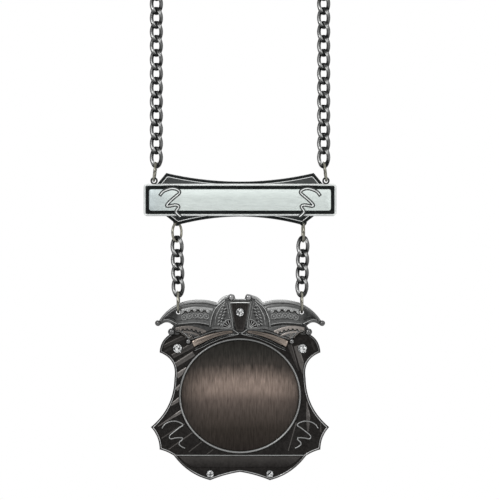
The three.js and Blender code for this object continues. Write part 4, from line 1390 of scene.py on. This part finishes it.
for x, z, radius, tone in BELLS:
    bell = lathe(BELL_PROFILE, x, z, BELL_MIDDLE, radius, [tone * rub for rub in BELL_RUBS])
    medal_casting.add(bell, bell_metal, mirrored=True)
for _, x, z, radius, level in STONES:
    medal_casting.add(lathe(SEAT_PROFILE, x, z, level + SEAT_STAND, radius, SEAT_RUBS), foil)
    collar_path = ellipse(radius * COLLAR_REACH, radius * COLLAR_REACH, LATHE_CORNERS, x, z)
    collar_foot, collar_top = level - COLLAR_DEPTH, level + COLLAR_STAND
    collar = ridge(collar_path, COLLAR_WIDTH, collar_foot, collar_top, closed=True, rub=COLLAR_RUB)
    medal_casting.add(collar, gunmetal)
medal = medal_casting.make("medal_relief", hung(mounts["emblem_field"].z))
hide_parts("medal")
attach(medal, "medal")
print("medal triangles:", sum(len(face.vertices) - 2 for face in medal.data.polygons))

# %% [markdown]
# A cut stone has a flat table, a crown of kites and triangles, a thin girdle and a pointed pavilion. All its
# corners lie on a convex form, so the hull of the corners makes every facet. Each facet gets a painted
# reflection, a random shade from dark to light. The table is divided from its middle, so the facets behind
# it are painted on it as light and dark wedges.

# %% The stones
CUT = (
    (0.56, 0.34, 8, 0.0), (0.82, 0.2, 8, 0.5), (1.0, 0.05, 16, 0.0), (1.0, 0.0, 16, 0.0),
    (0.48, -0.36, 8, 0.5))
CULET = -0.7
STONE_STAND = 0.15
# The painted reflection on each facet, picked at random.
FACET_REFLECTIONS = (0.0, 0.05, 0.35, 0.65, 0.95, 1.0)
sparkle = np.random.default_rng(5)


def cut_stone(name, x, z, radius, level):
    """A round cut stone, its table towards the viewer."""
    hull = bmesh.new()
    middle = hung(mounts["emblem_field"].z) + Vector((x * MM, -(level + STONE_STAND) * MM, z * MM))
    for share, height, count, turn in CUT:
        for i in range(count):
            a = (i + turn) / count * 2 * math.pi
            corner = Vector((math.sin(a) * share, -height, math.cos(a) * share))
            hull.verts.new(middle + corner * radius * MM)
    hull.verts.new(middle + Vector((0, -CULET * radius * MM, 0)))
    bmesh.ops.convex_hull(hull, input=hull.verts)
    bmesh.ops.dissolve_limit(hull, angle_limit=math.radians(1), verts=hull.verts, edges=hull.edges)
    bmesh.ops.recalc_face_normals(hull, faces=hull.faces)
    table = min(hull.faces, key=lambda face: face.normal.y)
    bmesh.ops.poke(hull, faces=[table])
    mesh = bpy.data.meshes.new(name + "_cut")
    hull.to_mesh(mesh)
    hull.free()
    facet = mesh.attributes.new("facet", "FLOAT", "FACE")
    facet.data.foreach_set("value", sparkle.choice(FACET_REFLECTIONS, len(mesh.polygons)).astype(np.float32))
    mesh.materials.append(crystal)
    return show(mesh)


for row in STONES:
    stone = cut_stone(*row)
    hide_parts(row[0])
    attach(stone, "medal")
    print(stone.name, "facets:", len(stone.data.polygons))

# %% [markdown]
# The name bar is a long frame over a spool-shaped plate. The spool is black with one thin bright line, the
# frame is a bright border round a black channel, with painted shade along its lower edge, and the raised
# plate inside it is brushed silver.

# %% The spool and the frame of the name bar
bar_casting = Casting()
SPOOL = (
    (0, 8, 0), (31.9, 11.7, -0.92), (35.8, 7, 0), (32, -7, 0), (27.1, -10.9, 0), (0, -7.2, -0.87))
SPOOL_SECTION = ((0, 0.3), (0.15, 0.62), (0.5, 0.7), (0.85, 0.66), (1.0, 0.45), (1.1, 0.4), (1.6, 0.4))
SPOOL_RUBS = (0.15, 0.2, 0.12, 0.08, 0.1, 0.25, 0.75)
SPOOL_HEIGHTS, SPOOL_TONES = (-6, 6), (0.25, 0.9)
SPOOL_SUNK, SPOOL_GRID = -0.3, 0.8
SPOOL_LINE_INSET, SPOOL_LINE_START = 1.45, 6.3
SPOOL_LINE_WIDTH, SPOOL_LINE_FOOT, SPOOL_LINE_TOP = 0.45, 0.2, 0.72
BAR_BACK = -1.0
BAR_WIDTH, BAR_HEIGHT = 41.7, 7.0
BORDER, BORDER_FOOT, BORDER_BEVEL = 0.9, -0.9, 0.32
# Painted shade along the lower edge of the border.
BORDER_HEIGHTS, BORDER_SHADE = (-7.0, -6.72, -6.6), (0.0, 0.35, 1.0)
CHANNEL = 1.4
CHANNEL_SECTION, CHANNEL_RUBS = ((0, 0.4), (0.3, 0.4)), (0.06, 0.06)
CHANNEL_INSET, CHANNEL_CORNER, CHANNEL_FOOT, CHANNEL_GRID = 0.3, 1.2, -0.95, 4
BAR_TOP = 1.2
PLATE_SECTION, PLATE_RUBS = ((0, 0.85), (0.12, 1.1), (0.3, BAR_TOP)), (0.6, 1, 1)
PLATE_FOOT, PLATE_GRID = 0.2, 3
CORNER = 1.0
CORNER_STEPS = 6


def rounded_box(half_width, half_height, radius):
    """Points clockwise round a rectangle with rounded corners."""
    points = []
    centres = ((1, 1), (1, -1), (-1, -1), (-1, 1))
    for quarter, (side, end) in enumerate(centres):
        for i in range(CORNER_STEPS + 1):
            a = (quarter + i / CORNER_STEPS) * math.pi / 2
            points.append((side * (half_width - radius) + radius * math.sin(a),
                           end * (half_height - radius) + radius * math.cos(a)))
    return points


def dense(outline, step=1.2):
    """Adds points along the long edges of a closed outline."""
    points = []
    for (x0, z0), (x1, z1) in zip(outline, [*outline[1:], outline[0]]):
        count = max(1, round(math.hypot(x1 - x0, z1 - z0) / step))
        points += [(x0 + (x1 - x0) * i / count, z0 + (z1 - z0) * i / count) for i in range(count)]
    return points


def sink_spool(places, height):
    """Lowers the spool where the frame lies over it."""
    return np.where(np.abs(places[:, 1]) < BAR_HEIGHT - BORDER / 2, SPOOL_SUNK, height)


def tone_spool(places, shades):
    """Darker on the lower half of the spool."""
    return shades * np.interp(places[:, 1], SPOOL_HEIGHTS, SPOOL_TONES)


spool_outline = both_halves(SPOOL)
spool = panel(
    spool_outline, SPOOL_SECTION, BAR_BACK, SPOOL_RUBS, spacing=SPOOL_GRID, sunk=sink_spool, fade=tone_spool)
bar_casting.add(spool, black_metal)
spool_line = moved_in(spool_outline, SPOOL_LINE_INSET)
line_parts = (
    [place for place in spool_line if place[1] > SPOOL_LINE_START],
    [place for place in spool_line if place[1] < -SPOOL_LINE_START and place[0] > 0],
    [place for place in spool_line if place[1] < -SPOOL_LINE_START and place[0] < 0])
for part in line_parts:
    line = ridge(sorted(part), SPOOL_LINE_WIDTH, SPOOL_LINE_FOOT, SPOOL_LINE_TOP)
    bar_casting.add(line, silver)
channel_box = dense(rounded_box(BAR_WIDTH - CHANNEL_INSET, BAR_HEIGHT - CHANNEL_INSET, CHANNEL_CORNER))
channel = panel(channel_box, CHANNEL_SECTION, CHANNEL_FOOT, CHANNEL_RUBS, spacing=CHANNEL_GRID)
bar_casting.add(channel, black_metal)
border_path = dense(rounded_box(BAR_WIDTH - BORDER / 2, BAR_HEIGHT - BORDER / 2, CORNER))
border = band(border_path, BORDER, BORDER_FOOT, BAR_TOP, bevel=BORDER_BEVEL, closed=True)
bar_casting.add(tone_by_height(border, BORDER_HEIGHTS, BORDER_SHADE), silver)
plate_box = dense(rounded_box(BAR_WIDTH - BORDER - CHANNEL, BAR_HEIGHT - BORDER - CHANNEL, CORNER))
name_plate = panel(plate_box, PLATE_SECTION, PLATE_FOOT, PLATE_RUBS, spacing=PLATE_GRID)
bar_casting.add(name_plate, plate_metal)
print("bar points:", len(bar_casting.points))

# %% [markdown]
# A streamer curls over each end of the plate and across the border. A low black line under it, a little
# longer at its upper end, gives the dark outline that sets it off. Four eyes stand at the corners, and the
# jump rings go through them.

# %% The streamers and eyes of the name bar
BAR_STREAMER = (
    (34.8, 1.7), (33.1, 3.7), (29.8, 4.9), (27.3, 4.5), (26.2, 3.1), (29.0, 0.6), (31.5, -1.9), (31.2, -2.7),
    (27.9, -2.2), (26.5, -3.0), (27.7, -5.2), (25.7, -7.3))
BAR_STREAMER_WIDTH, BAR_STREAMER_FOOT, BAR_STREAMER_STAND = 0.85, 0.2, 0.3
OUTLINE_WIDTH, OUTLINE_STAND, OUTLINE_BEVEL, OUTLINE_RUB = 1.55, 0.04, 0.03, 0.6
STREAMER_START = 2
UPPER_EYE = (37.2, 8.3)
LOWER_EYE = (27.3, -9.7)
EYE_HOLE, EYE_OUTSIDE, EYE_DEPTH = 0.88, 1.6, 0.5
EYE_CORNERS, EYE_BEVEL, EYE_RUB = 32, 0.2, 0.3

streamer_path = smooth_path(BAR_STREAMER)
outline_top = BAR_TOP + OUTLINE_STAND
dark_outline = band(
    streamer_path, OUTLINE_WIDTH, BAR_STREAMER_FOOT, outline_top, bevel=OUTLINE_BEVEL, rub=OUTLINE_RUB)
bar_casting.add(dark_outline, black_metal, mirrored=True)
streamer_top = BAR_TOP + BAR_STREAMER_STAND
streamer = ridge(streamer_path[STREAMER_START:], BAR_STREAMER_WIDTH, BAR_STREAMER_FOOT, streamer_top)
bar_casting.add(streamer, silver, mirrored=True)
for x, z in (UPPER_EYE, LOWER_EYE):
    eye_radius, eye_width = (EYE_HOLE + EYE_OUTSIDE) / 2, EYE_OUTSIDE - EYE_HOLE
    eye_path = ellipse(eye_radius, eye_radius, EYE_CORNERS, x, z)
    eye = band(eye_path, eye_width, -EYE_DEPTH, EYE_DEPTH, bevel=EYE_BEVEL, closed=True, rub=EYE_RUB)
    bar_casting.add(eye, black_metal, mirrored=True)
bar = bar_casting.make("name_bar_relief", hung(mounts["name_plate"].z))
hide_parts("name_bar")
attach(bar, "name_bar")
print("bar triangles:", sum(len(face.vertices) - 2 for face in bar.data.polygons))

# %% [markdown]
# A curb link is an oval of wire that is twisted along its length, so that it lies flat beside its neighbours.
# Its ends were pressed thicker than its sides. Each end lies in front on one side and behind on the other.
# What lies in front gets a painted glint and what lies behind gets painted shade: the table gives this painted
# light at an angle round the link, on the inner and on the outer side of the wire. The link is made once. The
# row tree sets 42 of them along each half of the loop, and four in each short chain.

# %% The curb link
LINK_WIRE, LINK_END_WIRE = 0.82, 1.18
LINK_HALF_WIDTH, LINK_HALF_LENGTH = 2.06, 3.7
LINK_TWIST = -math.radians(38)
LINK_ACROSS, LINK_ALONG = 0.82, 0.92
LINK_CORNERS, LINK_SIDES = 32, 10
# Painted light round a link: the angle, then the value on the inner and on the outer side of the wire; 1 is a
# painted glint, near 0 painted shade.
LINK_GLINTS_AND_SHADE = (
    (0, 0.03, 0.15), (22, 0.06, 0.15), (36, 1.0, 0.15), (47, 0.7, 0.05), (58, 0.03, 0.0), (100, 0.0, 0.0),
    (150, 0.01, 0.02), (178, 0.03, 0.14), (203, 0.12, 0.2), (217, 1.0, 0.1), (229, 0.7, 0.01),
    (241, 0.03, 0.0), (280, 0.0, 0.0), (330, 0.01, 0.02), (360, 0.03, 0.15))


def link_course(t):
    """The middle of the wire at an angle round the link, twisted along its length."""
    across = LINK_HALF_WIDTH * math.copysign(abs(math.cos(t)) ** LINK_ACROSS, math.cos(t))
    along = LINK_HALF_LENGTH * math.copysign(abs(math.sin(t)) ** LINK_ALONG, math.sin(t))
    turn = LINK_TWIST * along / LINK_HALF_LENGTH
    return Vector((across * math.cos(turn), across * math.sin(turn), along))


def link_wire(t):
    """The radius of a link's wire, which swells towards the ends."""
    return LINK_WIRE + (LINK_END_WIRE - LINK_WIRE) * abs(math.sin(t)) ** 3


def wire_loop(course, corners, sides, wire):
    """A closed tube along a course, in metres; the radius of the wire is given at each angle."""
    places = [course(i / corners * 2 * math.pi) for i in range(corners)]
    points, faces = [], []
    for i, place in enumerate(places):
        tangent = (places[(i + 1) % corners] - places[i - 1]).normalized()
        outwards = (place - Vector((0, 0, place.z * 0.5))).normalized()
        first = (outwards - tangent * outwards.dot(tangent)).normalized()
        second = tangent.cross(first)
        for j in range(sides):
            a = j / sides * 2 * math.pi
            offset = (first * math.cos(a) + second * math.sin(a)) * wire(i / corners * 2 * math.pi)
            points.append((place + offset) * MM)
    for i in range(corners):
        for j in range(sides):
            k, n = (i + 1) % corners, (j + 1) % sides
            faces.append((i * sides + j, k * sides + j, k * sides + n, i * sides + n))
    return points, faces


def paint_link_glints(link):
    """Paints glints and shade on a link by the angle round it, on the inner and on the outer side of its wire."""
    angles, inner, outer = zip(*LINK_GLINTS_AND_SHADE)
    corners = np.arange(len(link.data.vertices))
    turns = corners // LINK_SIDES / LINK_CORNERS * 360
    inwards = 0.5 - 0.5 * np.cos(corners % LINK_SIDES / LINK_SIDES * 2 * math.pi)
    rubs = np.interp(turns, angles, inner) * inwards + np.interp(turns, angles, outer) * (1 - inwards)
    rub = link.data.attributes.new("rub", "FLOAT", "POINT")
    rub.data.foreach_set("value", rubs.astype(np.float32))


curb_link = keep_ornament("curb link", *wire_loop(link_course, LINK_CORNERS, LINK_SIDES, link_wire))
paint_link_glints(curb_link)
print("link faces:", len(curb_link.data.polygons))

# %% [markdown]
# Each strand hangs straight in front, as far as the photograph shows it, and then goes out and back round
# the neck to the nape. A cubic Bezier curve makes that bend. Away from the front, the flat side of the chain
# turns to lie against the neck, so the back of each link looks inwards there.

# %% The neck chain
NECK_STRAND = 36.2
NECK_DEPTH, NECK_RISE, NECK_SPREAD, NECK_START = 104.0, 76.0, 100.0, 46.0
NECK_PITCH = 6.04
NAPE_SLACK = 0.11
LINKS_PER_SIDE = 42
BEND_SAMPLES = 1200
PATH_SAMPLES = 420


def neck_bend():
    """The bend of the left half in millimetres from the nape, where it ends."""
    t = np.linspace(0, 1, BEND_SAMPLES)[:, None]
    corners = np.array((
        (-NECK_STRAND, 0, 0), (-NECK_STRAND, 0, NECK_START), (-NECK_SPREAD, NECK_DEPTH, NECK_RISE),
        (0, NECK_DEPTH, NECK_RISE)), float)
    weights = ((1 - t) ** 3, 3 * t * (1 - t) ** 2, 3 * t ** 2 * (1 - t), t ** 3)
    return sum(weight * corner for weight, corner in zip(weights, corners)) - corners[-1]


def neck_course():
    """The middles of the left half's links as a fine path, and how far round the neck each point is."""
    bend = neck_bend()
    steps = np.linalg.norm(np.diff(bend, axis=0), axis=1)
    bend_length = steps.sum()
    straight = LINKS_PER_SIDE * NECK_PITCH - NAPE_SLACK - bend_length
    places = np.vstack([bend[0] - (0, 0, straight), bend])
    lengths = np.concatenate([[0, straight], straight + np.cumsum(steps)])
    wanted = np.linspace(NECK_PITCH / 2, (LINKS_PER_SIDE - 0.5) * NECK_PITCH, PATH_SAMPLES)
    path = np.stack([np.interp(wanted, lengths, places[:, axis]) for axis in range(3)], axis=1)
    return path, np.clip((wanted - straight) / bend_length, 0, 1)


def backs_of(path, shares):
    """Where the backs of the links look: to the rear in front, and inwards round the neck."""
    outwards = np.stack([path[:, 0], path[:, 1] + NECK_DEPTH / 2, np.zeros(len(path))], axis=1)
    outwards /= np.linalg.norm(outwards, axis=1)[:, None]
    return (1 - shares)[:, None] * np.array((0, 1, 0)) - shares[:, None] * outwards


course, shares = neck_course()
for side, sign in (("left", 1), ("right", -1)):
    path = course * (sign, 1, 1)
    mesh = grow_row(path * MM, backs_of(path, shares), curb_link, LINKS_PER_SIDE, chain_wire)
    mesh.name = f"neck_chain_{side}_links"
    chain = show(mesh)
    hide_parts(f"neck_chain_{side}")
    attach(chain, "neck_chain")
    print(chain.name, "faces:", len(mesh.polygons))

# %% [markdown]
# A short chain of four links hangs between the bar and the medal on each side. It leans in a little towards
# its foot, as the ring holes of the medal lie nearer together than the lower eyes of the bar.

# %% The short chains
HANGER_LINKS = 4
HANGER_PITCH = 5.82
FIRST_HANGER = -20.1
HANGER_TOP_X, HANGER_FOOT_X = 27.225, 26.775

for side, sign in (("left", -1), ("right", 1)):
    high = mounts["name_plate"].z + FIRST_HANGER * MM
    low = high - (HANGER_LINKS - 1) * HANGER_PITCH * MM
    path = [(sign * HANGER_FOOT_X * MM, hung(0).y, low), (sign * HANGER_TOP_X * MM, hung(0).y, high)]
    mesh = grow_row(path, [(0, 1, 0)] * len(path), curb_link, HANGER_LINKS, chain_wire)
    mesh.name = f"short_chain_{side}"
    chain = show(mesh)
    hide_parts(*[f"hanger_link_{side}_{i + 1}" for i in range(HANGER_LINKS)])
    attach(chain, "name_bar")
    print(chain.name, "faces:", len(mesh.polygons))

# %% [markdown]
# A jump ring is a turn of round wire that was cut from a coil and pressed shut, so a fine groove shows where
# its ends meet. The rings hang nearly edge-on; only the left one under the bar is turned well aside. The neck
# rings lean in to the strands, which hang a little nearer the middle than the eyes of the bar. Each neck ring
# stands a little to one side in its eye, which leaves it room when the bar swings.

# %% The jump rings
RING_WIRE = 0.55
RING_CORNERS, RING_SIDES = 48, 12
RING_SEAM = 0.86
RING_LEVELS = {"neck": 12.3, "bar": -14.0, "medal": -44.16}
RING_RADII = {"neck": 4.0, "bar": 4.0, "medal": 4.5}
RING_PLAY = 0.12
NECK_RING_X = (UPPER_EYE[0] + NECK_STRAND) / 2 + RING_PLAY
NECK_RING_LEAN = math.asin((UPPER_EYE[0] - NECK_STRAND) / (2 * RING_RADII["neck"]))
RINGS = (
    ("neck_ring_left", -1, "neck", NECK_RING_X, 2, NECK_RING_LEAN, "neck_chain"),
    ("neck_ring_right", 1, "neck", NECK_RING_X, 1, NECK_RING_LEAN, "neck_chain"),
    ("bar_ring_left", -1, "bar", LOWER_EYE[0], 28, 0, "name_bar"),
    ("bar_ring_right", 1, "bar", LOWER_EYE[0], 4, 0, "name_bar"),
    ("medal_ring_left", -1, "medal", RING_HOLE[0], 2, 0, "name_bar"),
    ("medal_ring_right", 1, "medal", RING_HOLE[0], 2, 0, "name_bar"))


def ring_loop(radius):
    """The wire of a jump ring, pinched where its ends meet."""

    def ring_course(t):
        return Vector((0, math.cos(t), math.sin(t))) * radius

    points, faces = wire_loop(ring_course, RING_CORNERS, RING_SIDES, lambda t: RING_WIRE)
    middle = Vector((0, radius * MM, 0))
    points[:RING_SIDES] = [middle + (place - middle) * RING_SEAM for place in points[:RING_SIDES]]
    return points, faces


for name, sign, level, x, turn, lean, body in RINGS:
    points, faces = ring_loop(RING_RADII[level])
    middle = hung(mounts["name_plate"].z) + Vector((sign * x, 0, RING_LEVELS[level])) * MM
    pose = Matrix.Rotation(-sign * lean, 3, "Y") @ Matrix.Rotation(sign * math.radians(turn), 3, "Z")
    mesh = bpy.data.meshes.new(name + "_wire")
    mesh.from_pydata([middle + pose @ place for place in points], [], faces)
    mesh.materials.append(ring_wire)
    turn_outwards(mesh)
    jump_ring = show(mesh)
    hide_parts(name)
    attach(jump_ring, body)
print("jump rings:", len(RINGS))

# %% [markdown]
# The floor is a plain pale disc well below the medal. It is only seen in views from above. A soft noise keeps
# its paint from looking flat.

# %% The floor
FLOOR_SHADES = (0.78, 0.78, 0.78), (0.84, 0.84, 0.84)


def paint_floor():
    """A pale matt paint with faint clouds."""
    material, tree, shader = start_material("pale floor paint")
    clouds = noise_on_object(tree, 3.0)
    share = spread(tree, clouds.outputs["Fac"], 0.3, 0.7, 0.0, 1.0)
    paint = blend_colours(tree, share, *FLOOR_SHADES)
    tree.links.new(paint, shader.inputs["Base Color"])
    shader.inputs["Roughness"].default_value = 0.7
    return material


floor_mesh = bpy.data.meshes.new("floor")
floor_places = [(x, y, FLOOR_HEIGHT) for x, y in reversed(ellipse(FLOOR_RADIUS, FLOOR_RADIUS, FLOOR_SIDES))]
floor_mesh.from_pydata(floor_places, [], [tuple(range(FLOOR_SIDES))])
floor_mesh.materials.append(paint_floor())
show(floor_mesh)
print("floor at", FLOOR_HEIGHT, "m")
